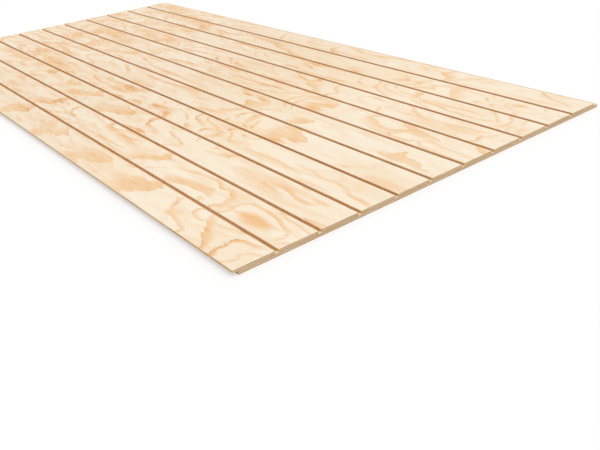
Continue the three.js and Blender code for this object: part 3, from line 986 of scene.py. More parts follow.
def crossband_strip(board):
    """The upper cross-grained ply below one face board."""
    left = LOW.x + board * PITCH
    right = left + STRIP
    bottom, top = PLY_TOPS[2], PLY_TOPS[3]
    levels = np.linspace(GROOVE_FLOOR + ROOT_RADIUS, bottom + JOINT_BEVEL, FILLET_STEPS)
    outline = [(right, top - JOINT_BEVEL), (right - JOINT_BEVEL, top)]
    outline += [(left + JOINT_BEVEL, top), (left, top - JOINT_BEVEL)]
    if board == 0:
        outline += [(left, LIP_UNDERSIDE + JOINT_BEVEL), (left + JOINT_BEVEL, LIP_UNDERSIDE)]
        outline += [(BACK_EDGE, LIP_UNDERSIDE), (BACK_EDGE, bottom)]
    else:
        outline += [(left - root_spread(z), z) for z in levels]
        outline += [(left - root_spread(bottom) + JOINT_BEVEL, bottom)]
    outline += [(right + root_spread(bottom) - JOINT_BEVEL, bottom)]
    outline += [(right + root_spread(z), z) for z in levels[::-1]]
    stations = stations_along(CORE_STEP)
    hidden = (1, len(outline) - len(levels) - 2)
    points = swept(steady(outline, stations), stations)
    return make_bar(points, np.full(len(outline), BAND_EDGE), BAND_END, hidden)


# Where the end faces of wide plies are cut into cells, below the middles of some boards.
CAP_SPLITS = [LOW.x + PITCH * (board + 0.5) for board in (2, 5, 8)]
SAME_PLACE = 1e-9


def cap_cells(outline, splits):
    """Cuts an end face into cells at each x in splits, where it has a corner above and below."""
    outline = np.asarray(outline)
    cells = []
    below, above = 0, len(outline)
    for x in splits:
        at = np.flatnonzero(np.abs(outline[:, 0] - x) < SAME_PLACE)
        low, high = int(at.min()), int(at.max())
        cells.append([*range(below, low + 1), *range(high, above)])
        below, above = low, high + 1
    cells.append([*range(below, above)])
    return cells


# How the cutter broke a groove's floor down at the sheet's ends: length along, depth, the
# share of it that varies and over what width, row of noise, seed, share at the far end, and
# the distance of the mesh's rows.
BREAKOUT_LENGTH = 0.005
BREAKOUT_DEPTH = 0.0011
BREAKOUT_UNEVEN = 0.35
BREAKOUT_WIDTH = 0.003
BREAKOUT_ROW = 0.5
BREAKOUT_SEED = 81
BREAKOUT_FAR = 0.5
BREAKOUT_STEP = 0.00125


def breakout(y, x):
    """How far the cutter broke a groove's floor down where it left the sheet's end."""
    near = np.clip(1 - (y - LOW.y) / BREAKOUT_LENGTH, 0, 1)
    far = np.clip(1 - (HIGH.y - y) / BREAKOUT_LENGTH, 0, 1)
    uneven = lattice_noise(np.array(x / BREAKOUT_WIDTH), np.array(BREAKOUT_ROW), BREAKOUT_SEED)
    uneven = 1 - BREAKOUT_UNEVEN + BREAKOUT_UNEVEN * uneven
    return BREAKOUT_DEPTH * uneven * (near ** 2 + BREAKOUT_FAR * far ** 2)


def ends_refined(stations):
    """Adds rows near both ends, where the break-outs are."""
    extra = np.arange(1, round(BREAKOUT_LENGTH / BREAKOUT_STEP) + 1) * BREAKOUT_STEP
    return np.unique(np.concatenate([stations, LOW.y + extra, HIGH.y - extra]))


# How far above the floor the core's fillets start, and the columns of a groove's floor.
FILLET_START = 0.00003
FLOOR_COLUMNS = 4


def core_ply():
    """The middle ply, which holds the grooves' floors and the top of the tongue."""
    bottom, top = PLY_TOPS[1], PLY_TOPS[2]
    outline = [(BACK_EDGE, bottom + JOINT_BEVEL), (BACK_EDGE + JOINT_BEVEL, bottom)]
    outline += [(x, bottom) for x in CAP_SPLITS]
    outline += [(HIGH.x - JOINT_BEVEL, bottom), (HIGH.x, bottom + JOINT_BEVEL)]
    outline += [(HIGH.x, GROOVE_FLOOR - JOINT_BEVEL), (HIGH.x - JOINT_BEVEL, GROOVE_FLOOR)]
    hidden = [1, 2, 3, 4]
    tongue = len(outline) - 1
    levels = np.linspace(top, GROOVE_FLOOR + FILLET_START, FILLET_STEPS)
    arc = [(root_spread(z), z) for z in levels] + [(ROOT_RADIUS, GROOVE_FLOOR)]
    outline += [(SHOULDER + reach, z) for reach, z in arc[::-1]]
    floors = []
    for board in range(BOARDS - 1, 0, -1):
        start = LOW.x + board * PITCH
        hidden.append(len(outline) - 1)
        split = LOW.x + PITCH * (board + 0.5)
        if any(abs(split - x) < SAME_PLACE for x in CAP_SPLITS):
            outline += [(split, top)]
            hidden.append(len(outline) - 1)
        first = len(outline)
        outline += [(start - reach, z) for reach, z in arc]
        floor_left, floor_right = start - GROOVE_WIDTH + ROOT_RADIUS, start - ROOT_RADIUS
        floor = np.linspace(floor_right, floor_left, FLOOR_COLUMNS + 1)[1:-1]
        outline += [(x, GROOVE_FLOOR) for x in floor]
        outline += [(start - GROOVE_WIDTH + reach, z) for reach, z in arc[::-1]]
        floors += range(first, len(outline))
    hidden.append(len(outline) - 1)
    outline += [(BACK_EDGE + JOINT_BEVEL, top), (BACK_EDGE, top - JOINT_BEVEL)]
    stations = ends_refined(stations_along(CORE_STEP))
    outlines = steady(outline, stations).copy()
    for corner in floors:
        outlines[:, corner, 1] -= breakout(stations, outline[corner][0])
    side_slots = np.full(len(outline), CORE_EDGE)
    side_slots[tongue] = CORE_TONGUE
    side_slots[floors] = CORE_FLOOR
    side_slots[hidden] = CORE_EDGE
    cells = cap_cells(outline, CAP_SPLITS)
    return make_bar(swept(outlines, stations), side_slots, CORE_END, hidden, cells)


# The rows of a ply between two others.
PLAIN_STEP = 0.04


def plain_ply(low_x, high_x, bottom, top, splits):
    """A flat ply between two others, with its end faces cut into cells at splits."""
    outline = slab_outline(low_x, high_x, bottom, top, splits, splits[::-1])
    under, over = slab_sides(splits, splits)
    side_slots = np.full(len(outline), BAND_EDGE)
    stations = stations_along(PLAIN_STEP)
    points = swept(steady(outline, stations), stations)
    return make_bar(points, side_slots, BAND_END, under + over, cap_cells(outline, splits))


# The rows and columns of the back.
BACK_STEP = 0.005
BACK_COLUMN = 0.0055


def back_veneer(low_x, high_x):
    """One strip of the back veneer, with rows and columns that carry its figure."""
    count = max(2, round((high_x - low_x) / BACK_COLUMN))
    inner = np.linspace(low_x, high_x, count + 1)[1:-1]
    outline = slab_outline(low_x, high_x, 0.0, PLY_TOPS[0], inner)
    under, over = slab_sides(inner)
    side_slots = np.full(len(outline), BACK_EDGES)
    side_slots[under] = BACK_FACE
    stations = stations_along(BACK_STEP)
    points = swept(steady(outline, stations), stations)
    return make_bar(points, side_slots, BACK_END, over)


# ---------------------------------------------------------------- materials

# Colours: the face, the back, the grooves, the sawn edges and ends, and small marks.
CREAM = srgb("FAECD5")
CREAM_WARM = srgb("F6DFBC")
LATEWOOD = srgb("F0B770")
LATEWOOD_EDGE = srgb("DA9C59")
# Painted shade: the face is multiplied by this towards the far end, darker and a little pinker, for the
# light falling off there.
FAR_SHADE_TINT = (0.955, 0.95, 0.955, 1.0)
BACK_PALE = srgb("F3DFC0")
BACK_WARM = srgb("EACFA6")
BACK_LATEWOOD = srgb("D9A871")
BACK_EDGE_LINE = srgb("B98049")
# Groove colours, tinted for the light in the grooves: walls paler and more orange than the same cuts at
# the sheet's edges, floors darker and more orange than the tongue's milled top; wood colour with painted
# light, shade and bounce light.
WALL_PALE = srgb("FBDDB6")
WALL_DARK = srgb("D09960")
CROSS_WALL_PALE = srgb("E8BE86")
CROSS_WALL_DARK = srgb("C29158")
FLOOR_PALE = srgb("E4B57E")
FLOOR_DARK = srgb("C38C54")
# Painted shade on the boards' rounded edges.
SHOULDER_SHADE = srgb("CA9A69")
EDGE_PALE = srgb("DCC29C")
EDGE_DARK = srgb("B38E62")
TONGUE_PALE = srgb("EFD3A8")
TONGUE_DARK = srgb("D0A26C")
# Partly fresh wood where the cutter broke out, partly painted light at the grooves' open ends.
BREAKOUT_AND_END_LIGHT = srgb("F6E3C4")
END_PALE = srgb("D8BE99")
END_DARK = srgb("A98459")
CROSS_PALE = srgb("E6CFAC")
CROSS_DARK = srgb("BF9A6C")
GLUE = srgb("7A5433")
SPECK = srgb("80491F")
FLECK = srgb("B27840")


def add(tree, kind, inputs=None, **settings):
    """Adds a node, sets its properties, and fills or links its inputs by name or number."""
    node = tree.nodes.new(kind)
    for key, value in settings.items():
        setattr(node, key, value)
    for key, value in (inputs or {}).items():
        if isinstance(value, Value):
            tree.links.new(value.socket, node.inputs[key])
        else:
            node.inputs[key].default_value = value
    return node


class Value:
    """What a node gives at each place of a surface; sums of it add Math nodes."""

    def __init__(self, socket):
        self.socket = socket

    def calc(self, operation, *others):
        """A Math node's result."""
        inputs = dict(enumerate((self, *others)))
        node = add(self.socket.id_data, "ShaderNodeMath", inputs, operation=operation)
        return Value(node.outputs[0])

    def __add__(self, other):
        return self.calc("ADD", other)

    def __sub__(self, other):
        return self.calc("SUBTRACT", other)

    def __rsub__(self, other):
        return self.calc("MULTIPLY_ADD", -1.0, other)

    def __mul__(self, other):
        return self.calc("MULTIPLY", other)

    def __truediv__(self, other):
        return self.calc("DIVIDE", other)

    def over(self, lower):
        """This share laid over another, so that they join without adding up past 1."""
        return self * (1.0 - lower) + lower

    def swing(self, size, base=0.0):
        """Noise of 0 to 1 taken to swing about base by up to size."""
        return (self - 0.5) * (size * 2) + base

    def stepped(self, low, high):
        """0 where this is low, 1 where it is high, eased between; low may be the larger."""
        inputs = {0: self, 1: low, 2: high}
        settings = {"interpolation_type": "SMOOTHSTEP"}
        return Value(add(self.socket.id_data, "ShaderNodeMapRange", inputs, **settings).outputs[0])

    def mixed(self, first, second, blend_type="MIX"):
        """The first colour where this is 0 and the second where it is 1."""
        inputs = {0: self, 6: first, 7: second}
        settings = {"data_type": "RGBA", "blend_type": blend_type}
        return Value(add(self.socket.id_data, "ShaderNodeMix", inputs, **settings).outputs[2])


class Surface:
    """A material, its shader, and the place in metres that its noise and its levels go by."""

    def __init__(self, name, roughness):
        self.material = bpy.data.materials.new(name)
        self.material.use_nodes = True
        self.tree = self.material.node_tree
        self.shader = self.tree.nodes["Principled BSDF"]
        self.shader.inputs["Roughness"].default_value = roughness
        self.place = self.get("ShaderNodeTexCoord", output="Object")
        self.x, self.y, self.z = (
            self.get("ShaderNodeSeparateXYZ", {0: self.place}, output) for output in range(3)
        )

    def get(self, kind, inputs=None, output=0, **settings):
        """What a new node gives at one of its outputs."""
        return Value(add(self.tree, kind, inputs, **settings).outputs[output])

    def attribute(self, name):
        """A mesh attribute's value."""
        return self.get("ShaderNodeAttribute", output="Fac", attribute_name=name)

    def scaled(self, scale):
        """The place times a scale for each axis."""
        return self.get("ShaderNodeVectorMath", {0: self.place, 1: scale}, operation="MULTIPLY")

    def noise(self, cells, detail=2.0, roughness=0.5):
        """Noise of about 0 to 1, with so many cells to a metre on each axis."""
        inputs = {"Vector": self.scaled(cells), "Scale": 1.0, "Detail": detail}
        return self.get("ShaderNodeTexNoise", {**inputs, "Roughness": roughness}, "Fac")

    def spots(self, cells, detail, roughness, low, high):
        """1 where a noise is at high or beyond, 0 where it is at low or beyond."""
        return self.noise(cells, detail, roughness).stepped(low, high)

    def ramp(self, value, stops):
        """A ramp of (place, number) stops."""
        node = add(self.tree, "ShaderNodeValToRGB", {0: value})
        band = node.color_ramp
        while len(band.elements) < len(stops):
            band.elements.new(0.5)
        for element, (at, level) in zip(band.elements, stops):
            element.position = at
            element.color = grey(level)
        return Value(node.outputs[0])

    def far(self, start, stop):
        """A share that rises from 0 to 1 between two distances from the near end."""
        return self.y.stepped(LOW.y + start, LOW.y + stop)

    def finished(self, colour, height, depth, roughness=None):
        """The material with its colour, roughness, and relief of height times depth in metres."""
        relief = {"Strength": 1.0, "Distance": depth, "Height": height}
        sockets = {"Base Color": colour, "Normal": self.get("ShaderNodeBump", relief, "Normal")}
        if roughness:
            sockets["Roughness"] = roughness
        for name, value in sockets.items():
            self.tree.links.new(value.socket, self.shader.inputs[name])
        return self.material


# Cells of a noise are so many to a metre across, along and through the sheet. Spots are the
# cells, detail and roughness of a noise, and the levels between which it shows.

# Teeth of latewood's edge: cells and reach.
TEETH = (((80, 20, 1), 3.4), ((210, 50, 1), 2.8), ((560, 110, 1), 1.4))
# Growth rings: their ripples, in rings; how much of the latewood's colour shows from one ring
# edge to the next; their sharp line, in metres, and its depth; how far their teeth reach; how
# much and from what their strength varies; and how strong they are near and far.
RIPPLE_CELLS = (42, 10, 1)
RIPPLE = 0.22
LATEWOOD_STOPS = ((0.0, 0.0), (0.42, 0.0), (0.66, 0.22), (0.82, 0.5), (0.93, 0.68), (1.0, 0.74))
LINE_WIDTH = 0.0075
LINE_DEPTH = 0.25
RING_TEETH = 0.45
RING_STRENGTH = (0.35, 0.75)
REGION_CELLS = (5.0, 2.2, 1.0)
REGION_SWING = 0.5
RINGS_NEAR = 0.25
RINGS_WILD = 0.75
# Drawn edges: their rim's width and extra depth, depth, softness, and streaks along the grain.
RIM_WIDTH = 2.6
RIM_EXTRA = 0.42
DRAWN_DEPTH = 1.0
DRAWN_SOFTNESS = 0.12
STREAK_CELLS = (150, 12, 1)
STREAK_SWING = 0.5
# Soft patches: how far teeth tear their outline, where it runs, and how much it shows.
PATCH_TEETH = 0.045
PATCH_EDGE = (0.14, 0.24)
PATCH_OUTLINE = 0.5
# Far figure, in metres from the near end: light holes in the latewood, how strong it stays
# between them, and torn patches beside it.
RAGGED_FROM = (0.5, 1.0)
HOLES = ((85, 24, 1), 5.0, 0.65, 0.46, 0.41)
HOLE_DEPTH = 0.65
KEPT = 1.12
MOTTLE = ((38, 10, 1), 6.0, 0.68, 0.54, 0.6)
MOTTLE_DEPTH = 0.36
# Haze of latewood's colour: its depth near, and what is added far.
HAZE_FROM = (0.15, 0.7)
HAZE = ((17, 4.2, 1), 4.0, 0.6, 0.46, 0.74)
HAZE_NEAR = 0.2
HAZE_FAR = 0.16
# Fibres and short pores of the grain.
FIBRE_CELLS = (420, 11, 300)
FIBRE_SWING = 0.15
FINE_FIBRE_CELLS = (1700, 45, 1200)
FINE_FIBRE_SWING = 0.12
PORES = ((2600, 240, 1), 1.0, 0.5, 0.6, 0.74)
PORE_DEPTH = 0.09
GRAIN_MIDDLE = 0.02
# Cream: broad changes from pale to warm, and how the face's own warmth takes part.
TONE_CELLS = (3.4, 1.3, 1.0)
TONE_EDGE = (0.34, 0.66)
TONE_SPREAD = 1.4
WARMTH_SHARE = (0.32, 0.34)
# Where latewood turns to its darkest colour, and how far; torn flecks and their depth; and
# specks: cells, the share of cells without one, size, and depth.
DARK_EDGE = (0.75, 1.35)
DARK_DEPTH = 0.6
TORN = ((420, 75, 1), 2.0, 0.5, 0.46, 0.6)
TORN_DEPTH = 0.6
SPECK_CELLS = (14.0, 5.5, 1.0)
SPECK_FREE = 0.78
SPECK_SIZE = (0.02, 0.009)
SPECK_DEPTH = 0.7
# Surface of a veneer: roughness on cream and in latewood, and relief in metres.
CREAM_ROUGHNESS = 0.62
ROUGHNESS_SWING = 0.08
LATEWOOD_GLOSS = -0.1
LATEWOOD_RELIEF = 0.5
VENEER_RELIEF = 0.00006
# Painted shade on the rounded edges of the boards: where it fades, in metres from the board's
# edge, its unevenness, and its depth at the sheet's left and at its right.
SHOULDER_FADE = (0.0019, 0.0004)
SHOULDER_CELLS = (260, 38, 1)
SHOULDER_SWING = 0.0012
SHOULDER_DEPTH = (0.3, 1.0)


def ring_tone(wood, teeth):
    """Latewood of the mesh's growth rings: broad rings that end in a sharp, toothed edge."""
    rings = wood.noise(RIPPLE_CELLS).swing(RIPPLE, wood.attribute("rings"))
    rings = teeth * wood.attribute("teeth") * RING_TEETH + rings
    phase = rings.calc("FRACT")
    line = ((1.0 - phase) / wood.attribute("slope")).stepped(LINE_WIDTH, 0.0)
    tone = line * LINE_DEPTH + wood.ramp(phase, LATEWOOD_STOPS)
    whole = {"W": rings.calc("FLOOR")}
    strength = wood.get("ShaderNodeTexWhiteNoise", whole, "Value", noise_dimensions="1D")
    strength = strength * RING_STRENGTH[0] + RING_STRENGTH[1]
    return tone * strength * wood.noise(REGION_CELLS, 1.0).swing(REGION_SWING, 1.0)


def drawn_tone(wood, layer, teeth):
    """Latewood of one layer of the drawn edges: sharp on one side, fading on the other."""
    edge = wood.attribute(f"edge_{layer}") + teeth
    rim = edge.stepped(RIM_WIDTH, 0.0) * RIM_EXTRA + DRAWN_DEPTH
    shown = edge.stepped(-DRAWN_SOFTNESS, DRAWN_SOFTNESS)
    return shown * wood.attribute(f"paint_{layer}") * rim


def patch_tone(wood, teeth):
    """Soft patches of latewood, with a torn outline."""
    cloud = wood.attribute("cloud")
    outline = (teeth * PATCH_TEETH + cloud).stepped(*PATCH_EDGE)
    return cloud * (outline * PATCH_OUTLINE + (1 - PATCH_OUTLINE))


def ragged(wood, latewood):
    """Latewood broken by light holes and joined by torn patches, far from the near end."""
    share = wood.far(*RAGGED_FROM)
    kept = KEPT - wood.spots(*HOLES) * HOLE_DEPTH
    broken = latewood * (share * (kept - 1.0) + 1.0)
    return (wood.spots(*MOTTLE) * share * MOTTLE_DEPTH).over(broken)


def drawn_figure(wood, rings, teeth):
    """The face's latewood: growth rings, drawn edges and soft patches, ragged when far."""
    latewood = rings * (wood.attribute("wild") * (RINGS_WILD - RINGS_NEAR) + RINGS_NEAR)
    streaks = wood.noise(STREAK_CELLS, 3.0).swing(STREAK_SWING, 1.0)
    for layer in range(1, LAYERS + 1):
        latewood = latewood.calc("MAXIMUM", drawn_tone(wood, layer, teeth) * streaks)
    return ragged(wood, (patch_tone(wood, teeth) * streaks).over(latewood))


def with_specks(wood, colour):
    """The colour with a small dark speck in some cells."""
    cells = add(wood.tree, "ShaderNodeTexVoronoi", {"Vector": wood.scaled(SPECK_CELLS), "Scale": 1.0})
    chance = wood.get("ShaderNodeSeparateColor", {0: Value(cells.outputs["Color"])})
    speck = Value(cells.outputs["Distance"]).stepped(*SPECK_SIZE)
    return (speck * chance.calc("GREATER_THAN", SPECK_FREE) * SPECK_DEPTH).mixed(colour, SPECK)


def shoulder_shade_share(wood):
    """Painted shade on the rounded edges of the boards: 1 there, easing unevenly to 0 on the face beside
    them.
    """
    turn = wood.x * (1 / PITCH) + (GROOVE_WIDTH / 2 - LOW.x) / PITCH
    away = turn.calc("FRACT") * PITCH - (STRIP + GROOVE_WIDTH) / 2
    inward = STRIP / 2 - away.calc("ABSOLUTE")
    uneven = wood.noise(SHOULDER_CELLS, 3.0).swing(SHOULDER_SWING, inward)
    width = {0: wood.x, 1: LOW.x, 2: HIGH.x, 3: SHOULDER_DEPTH[0], 4: SHOULDER_DEPTH[1]}
    return uneven.stepped(*SHOULDER_FADE) * wood.get("ShaderNodeMapRange", width)


def veneer_material(name, cream, warm, tan, edge, drawn=False):
    """Rotary-cut softwood, with drawn edges of latewood or with natural rings alone."""
    wood = Surface(name, CREAM_ROUGHNESS)
    teeth = wood.noise(TEETH[0][0], 1.0).swing(TEETH[0][1])
    for cells, reach in TEETH[1:]:
        teeth = wood.noise(cells, 1.0).swing(reach, teeth)
    latewood = ring_tone(wood, teeth)
    tone = wood.noise(TONE_CELLS)
    if drawn:
        latewood = drawn_figure(wood, latewood, teeth)
        tone = (tone - 0.5) * TONE_SPREAD + wood.attribute("warmth")
        tone = tone * WARMTH_SHARE[0] + WARMTH_SHARE[1]
    haze = wood.far(*HAZE_FROM) * HAZE_FAR + HAZE_NEAR
    fine_fibres = wood.noise(FINE_FIBRE_CELLS, 1.0)
    grain = wood.noise(FIBRE_CELLS).swing(FIBRE_SWING, -GRAIN_MIDDLE)
    grain = fine_fibres.swing(FINE_FIBRE_SWING, grain) + wood.spots(*PORES) * PORE_DEPTH
    latewood = latewood + wood.spots(*HAZE) * haze + grain
    colour = latewood.mixed(tone.stepped(*TONE_EDGE).mixed(cream, warm), tan)
    colour = (latewood.stepped(*DARK_EDGE) * DARK_DEPTH).mixed(colour, edge)
    if drawn:
        # Painted shade: the face darker towards the far end.
        colour = wood.attribute("far_shade").mixed(colour, FAR_SHADE_TINT, "MULTIPLY")
        torn = wood.spots(*TORN) * wood.attribute("flecked") * TORN_DEPTH
        # Painted shade on the boards' rounded edges, laid over the torn flecks.
        colour = shoulder_shade_share(wood).mixed(torn.mixed(colour, FLECK), SHOULDER_SHADE)
    colour = with_specks(wood, colour)
    rough = latewood * LATEWOOD_GLOSS + fine_fibres.swing(ROUGHNESS_SWING, CREAM_ROUGHNESS)
    relief = latewood * LATEWOOD_RELIEF + fine_fibres
    return wood.finished(colour, relief, VENEER_RELIEF, rough)


# Cut surfaces: cells of streaks and speckle along the grain or across the sheet, cells of end
# grain's rings and pores, and how much finer or coarser than these their details are.
ALONG_STREAKS = (300, 9, 420)
ALONG_SPECKLE = (900, 260, 900)
ACROSS_STREAKS = (9, 300, 700)
ACROSS_SPECKLE = (260, 900, 900)
END_BANDS = (26, 1, 900)
END_PORES = (1500, 1, 1500)
CROSS_BANDS = (1, 26, 900)
CROSS_PORES = (1, 1500, 1500)
FINER = 3.3
COARSER = 0.35
CHECK_EDGE = (0.66, 0.74)
CHECK_DEPTH = 0.65
# Glue between plies: how far from the joint it fades, its cells, and its depth.
GLUE_FADE = (0.00032, 0.0001)
GLUE_CELLS = (90, 90, 90)
GLUE_SWING = (0.5, 0.6)
# Grooves: painted shade on their walls, stronger far from the near end, in metres, and darker
# at their foot, in metres below the face, where less light reaches; it is stronger in some
# grooves than in others, and the places of the stops are shares of the width.
WALL_FAR_SHADE_FROM = (0.6, 1.8)
WALL_FAR_SHADE = 0.42
WALL_FOOT_SHADE_FROM = (0.001, 0.0026)
WALL_FOOT_SHADE = 1.5
WALL_FOOT_SHADE_STOPS = (
    (0.0, 0.0), (0.3, 0.05), (0.36, 1.0), (0.42, 0.07), (0.58, 0.14), (0.8, 0.5), (0.9, 0.9),
)
# Milled floors: streaks and patches, and their pale ends, in metres: partly fresh wood where
# the cutter broke out, partly painted light where light falls in at the open end.
MILLED_STREAKS = (520, 14, 1)
MILLED_PATCHES = (30, 26, 1)
BREAKOUT_LIGHT_CELLS = (700, 60, 1)
BREAKOUT_LIGHT_SWING = 0.006
BREAKOUT_LIGHT_FADE = (0.009, 0.003)
CUTTER_MARKS = 0.0021
MARK_DEPTH = 0.3
# Each kind of cut: roughness, how much of its dark colour each of its parts brings, from what
# middle, and relief in metres.
STREAKED_ROUGHNESS = 0.72
STREAKED_SHARES = (1.1, 0.35, 0.25)
STREAKED_MIDDLE = 0.42
STREAKED_RELIEF = 0.0001
POROUS_ROUGHNESS = 0.8
POROUS_SHARES = (1.2, 0.55)
POROUS_MIDDLE = 0.45
POROUS_RELIEF = 0.00018
MILLED_ROUGHNESS = 0.75
MILLED_SHARES = (0.9, 0.9)
MILLED_MIDDLE = 0.4
MILLED_RELIEF = 0.00012


def blended(parts, shares, middle):
    """Noises that swing about a middle, each by its share."""
    total = middle
    for part, share in zip(parts, shares):
        total = part.swing(share, total)
    return total


def with_glue_lines(wood, colour):
    """The colour with a thin dark line of glue wherever two plies meet."""
    across = (wood.z * (1 / PLY) + 0.5).calc("FRACT") - 0.5
    line = (across.calc("ABSOLUTE") * PLY).stepped(*GLUE_FADE)
    return (line * wood.noise(GLUE_CELLS, 1.0).swing(*GLUE_SWING)).mixed(colour, GLUE)


def wall_foot_shade(wood):
    """Painted shade on a groove's wall: darker at its foot, and in some grooves more than in others."""
    foot = wood.z.stepped(HIGH.z - WALL_FOOT_SHADE_FROM[0], HIGH.z - WALL_FOOT_SHADE_FROM[1])
    across = (wood.x - LOW.x) * (1 / (HIGH.x - LOW.x))
    return foot * wood.ramp(across, WALL_FOOT_SHADE_STOPS) * WALL_FOOT_SHADE


def streaked_material(name, pale, dark, streaks, speckle, in_groove=False):
    """Cut wood seen along its fibres: streaks, fine speckle, and glue lines at its plies."""
    wood = Surface(name, STREAKED_ROUGHNESS)
    fine = wood.noise([cells * FINER for cells in streaks])
    dots = wood.noise(speckle, 1.0)
    parts = (wood.noise(streaks, 3.0, 0.6), fine, dots)
    share = blended(parts, STREAKED_SHARES, STREAKED_MIDDLE)
    if in_groove:
        # Painted shade: groove walls darker far from the near end and at their foot.
        share = share + wood.far(*WALL_FAR_SHADE_FROM) * WALL_FAR_SHADE + wall_foot_shade(wood)
    return wood.finished(with_glue_lines(wood, share.mixed(pale, dark)), fine + dots, STREAKED_RELIEF)


def porous_material(name, pale, dark, bands, pores):
    """End grain: faint bands of rings that follow the ply, pores, and small dark checks."""
    wood = Surface(name, POROUS_ROUGHNESS)
    pore = wood.noise(pores, 2.0, 0.7)
    share = blended((wood.noise(bands, 3.0, 0.6), pore), POROUS_SHARES, POROUS_MIDDLE)
    check = wood.noise([cells * COARSER for cells in pores]).stepped(*CHECK_EDGE) * CHECK_DEPTH
    colour = check.mixed(share.mixed(pale, dark), GLUE)
    return wood.finished(with_glue_lines(wood, colour), pore, POROUS_RELIEF)


def milled_material(name, pale, dark):
    """A floor cut by the router: torn and burnished, and paler near the ends: partly fresh wood where it
    broke out, partly painted light falling in at the open end.
    """
    wood = Surface(name, MILLED_ROUGHNESS)
    streak = wood.noise(MILLED_STREAKS, 3.0, 0.6)
    share = blended((streak, wood.noise(MILLED_PATCHES, 3.0, 0.6)), MILLED_SHARES, MILLED_MIDDLE)
    along = wood.noise(BREAKOUT_LIGHT_CELLS).swing(BREAKOUT_LIGHT_SWING, wood.y)
    near = along.stepped(*(LOW.y + away for away in BREAKOUT_LIGHT_FADE))
    far = along.stepped(*(HIGH.y - away for away in BREAKOUT_LIGHT_FADE))
    # Pale ends: partly fresh break-out, partly painted light at the open end.
    colour = near.calc("MAXIMUM", far).mixed(share.mixed(pale, dark), BREAKOUT_AND_END_LIGHT)
    marks = (wood.y * (2 * math.pi / CUTTER_MARKS)).calc("SINE")
    return wood.finished(colour, marks * MARK_DEPTH + streak, MILLED_RELIEF)


# ---------------------------------------------------------------- assembly

# Seams of the back, in metres from its left edge, and how its strips differ in their rings.
BACK_SEAMS = (0.43, 0.89)
BACK_RINGS_SHIFT = 3.7


def build_sheet():
    """Every ply of the sheet, as a list of objects."""
    face = veneer_material("face_veneer", CREAM, CREAM_WARM, LATEWOOD, LATEWOOD_EDGE, True)
    back = veneer_material("back_veneer", BACK_PALE, BACK_WARM, BACK_LATEWOOD, BACK_EDGE_LINE)
    wall = streaked_material("groove_wall", WALL_PALE, WALL_DARK, ALONG_STREAKS, ALONG_SPECKLE, True)
    along = streaked_material("edge_along", EDGE_PALE, EDGE_DARK, ALONG_STREAKS, ALONG_SPECKLE)
    across = streaked_material("edge_across", CROSS_PALE, CROSS_DARK, ACROSS_STREAKS, ACROSS_SPECKLE)
    end = porous_material("end_grain", END_PALE, END_DARK, END_BANDS, END_PORES)
    cross_end = porous_material("cross_end_grain", END_PALE, END_DARK, CROSS_BANDS, CROSS_PORES)
    cross_wall = (CROSS_WALL_PALE, CROSS_WALL_DARK, CROSS_BANDS, CROSS_PORES)
    cross_wall = porous_material("groove_wall_end_grain", *cross_wall)
    floor = milled_material("groove_floor", FLOOR_PALE, FLOOR_DARK)
    tongue = milled_material("tongue", TONGUE_PALE, TONGUE_DARK)
    pieces = []
    for board in range(BOARDS):
        pieces.append(bars_object(
            f"face_board_{board + 1:02d}", [face_strip(board)], [face, wall, end, along],
            lambda x, y: face_attributes(board, x, y) | ring_attributes(x, y, FACE_RINGS_SEED),
        ))
    bands = [crossband_strip(board) for board in range(BOARDS)]
    pieces.append(bars_object("upper_crossband", bands, [cross_wall, across]))
    pieces.append(bars_object("core_ply", [core_ply()], [along, end, floor, tongue]))
    lower = plain_ply(BACK_EDGE, HIGH.x, PLY_TOPS[0], PLY_TOPS[1], CAP_SPLITS)
    pieces.append(bars_object("lower_crossband", [lower], [cross_end, across]))
    edges = [BACK_EDGE, *(BACK_EDGE + seam for seam in BACK_SEAMS), HIGH.x]
    for index, (low_x, high_x) in enumerate(zip(edges[:-1], edges[1:])):
        shift = BACK_RINGS_SHIFT * index
        pieces.append(bars_object(
            f"back_veneer_{index + 1}", [back_veneer(low_x, high_x)], [along, back, end],
            lambda x, y: ring_attributes(x + shift, y, BACK_RINGS_SEED),
        ))
    return pieces


# ---------------------------------------------------------------- stage, light and camera

# The floor's size, how far it lies below the sheet, its pale grey, and how much of what the
# camera sees of it is shaded; levels of the surround and the sun, the sun's width in degrees,
# and where it comes from.
FLOOR_SIZE = 60.0
FLOOR_DROP = 0.0002
FLOOR_GREY = 0.92
FLOOR_ROUGHNESS = 0.9
FLOOR_SHADE = 0.5
WORLD_LEVEL = 0.78
SUN_LEVEL = 0.82
SUN_SOFTNESS = 50.0
SUN_FROM = Vector((0.2, -1.0, 1.9))


def seen_rays(tree):
    """1 for rays that show the stage itself: straight, mirrored or through glass."""
    path = add(tree, "ShaderNodeLightPath").outputs
    seen = Value(path["Is Camera Ray"]).calc("MAXIMUM", Value(path["Is Glossy Ray"]))
    return seen.calc("MAXIMUM", Value(path["Is Transmission Ray"]))


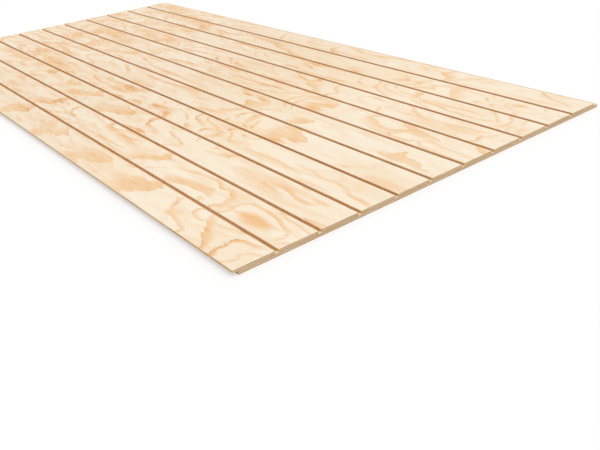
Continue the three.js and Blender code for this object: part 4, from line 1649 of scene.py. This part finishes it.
def add_floor():
    """A plain floor, which the camera sees as white apart from the sheet's shadow."""
    ground = Surface("floor", FLOOR_ROUGHNESS)
    ground.shader.inputs["Base Color"].default_value = grey(FLOOR_GREY)
    half = ground.get("ShaderNodeBsdfDiffuse", {"Color": grey(FLOOR_SHADE)})
    light = ground.get("ShaderNodeEmission", {"Color": grey(1 - FLOOR_SHADE), "Strength": 1.0})
    seen = ground.get("ShaderNodeAddShader", {0: half, 1: light})
    inputs = {0: seen_rays(ground.tree), 1: Value(ground.shader.outputs[0]), 2: seen}
    result = ground.tree.nodes["Material Output"].inputs["Surface"]
    ground.tree.links.new(ground.get("ShaderNodeMixShader", inputs).socket, result)
    bpy.ops.mesh.primitive_plane_add(size=FLOOR_SIZE, location=(0, 0, -FLOOR_DROP))
    floor = bpy.context.object
    floor.name = "floor"
    floor.data.materials.append(ground.material)


def add_world():
    """An even pale surround that the camera sees as white."""
    world = bpy.data.worlds.new("surround")
    bpy.context.scene.world = world
    world.use_nodes = True
    surround = world.node_tree.nodes["Background"]
    surround.inputs["Color"].default_value = grey(1.0)
    level = seen_rays(world.node_tree) * (1.0 - WORLD_LEVEL) + WORLD_LEVEL
    world.node_tree.links.new(level.socket, surround.inputs["Strength"])


def add_sun():
    """A soft key light from above the near end."""
    lamp = bpy.data.lights.new("key", "SUN")
    lamp.energy = SUN_LEVEL
    lamp.angle = math.radians(SUN_SOFTNESS)
    holder = bpy.data.objects.new("key", lamp)
    holder.rotation_euler = (-SUN_FROM).to_track_quat("-Z", "Y").to_euler()
    bpy.context.scene.collection.objects.link(holder)


def add_camera():
    """The camera at the photograph's place, with its lens and no shift."""
    data = bpy.data.cameras.new("camera")
    data.sensor_width = SENSOR_MM
    data.lens = FOCAL_PX / FRAME_WIDTH_PX * SENSOR_MM
    data.clip_end = 100
    camera = bpy.data.objects.new("camera", data)
    bpy.context.scene.collection.objects.link(camera)
    back = -CAMERA_AHEAD.normalized()
    right = CAMERA_UP.cross(back).normalized()
    turn = Matrix((right, back.cross(right), back)).transposed().to_4x4()
    camera.matrix_world = Matrix.Translation(CAMERA_PLACE) @ turn
    bpy.context.scene.camera = camera


add_camera()
for piece in build_sheet():
    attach(piece, "root")
    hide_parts(NODE)
add_floor()
add_sun()
add_world()
bpy.context.scene.view_settings.view_transform = "Standard"
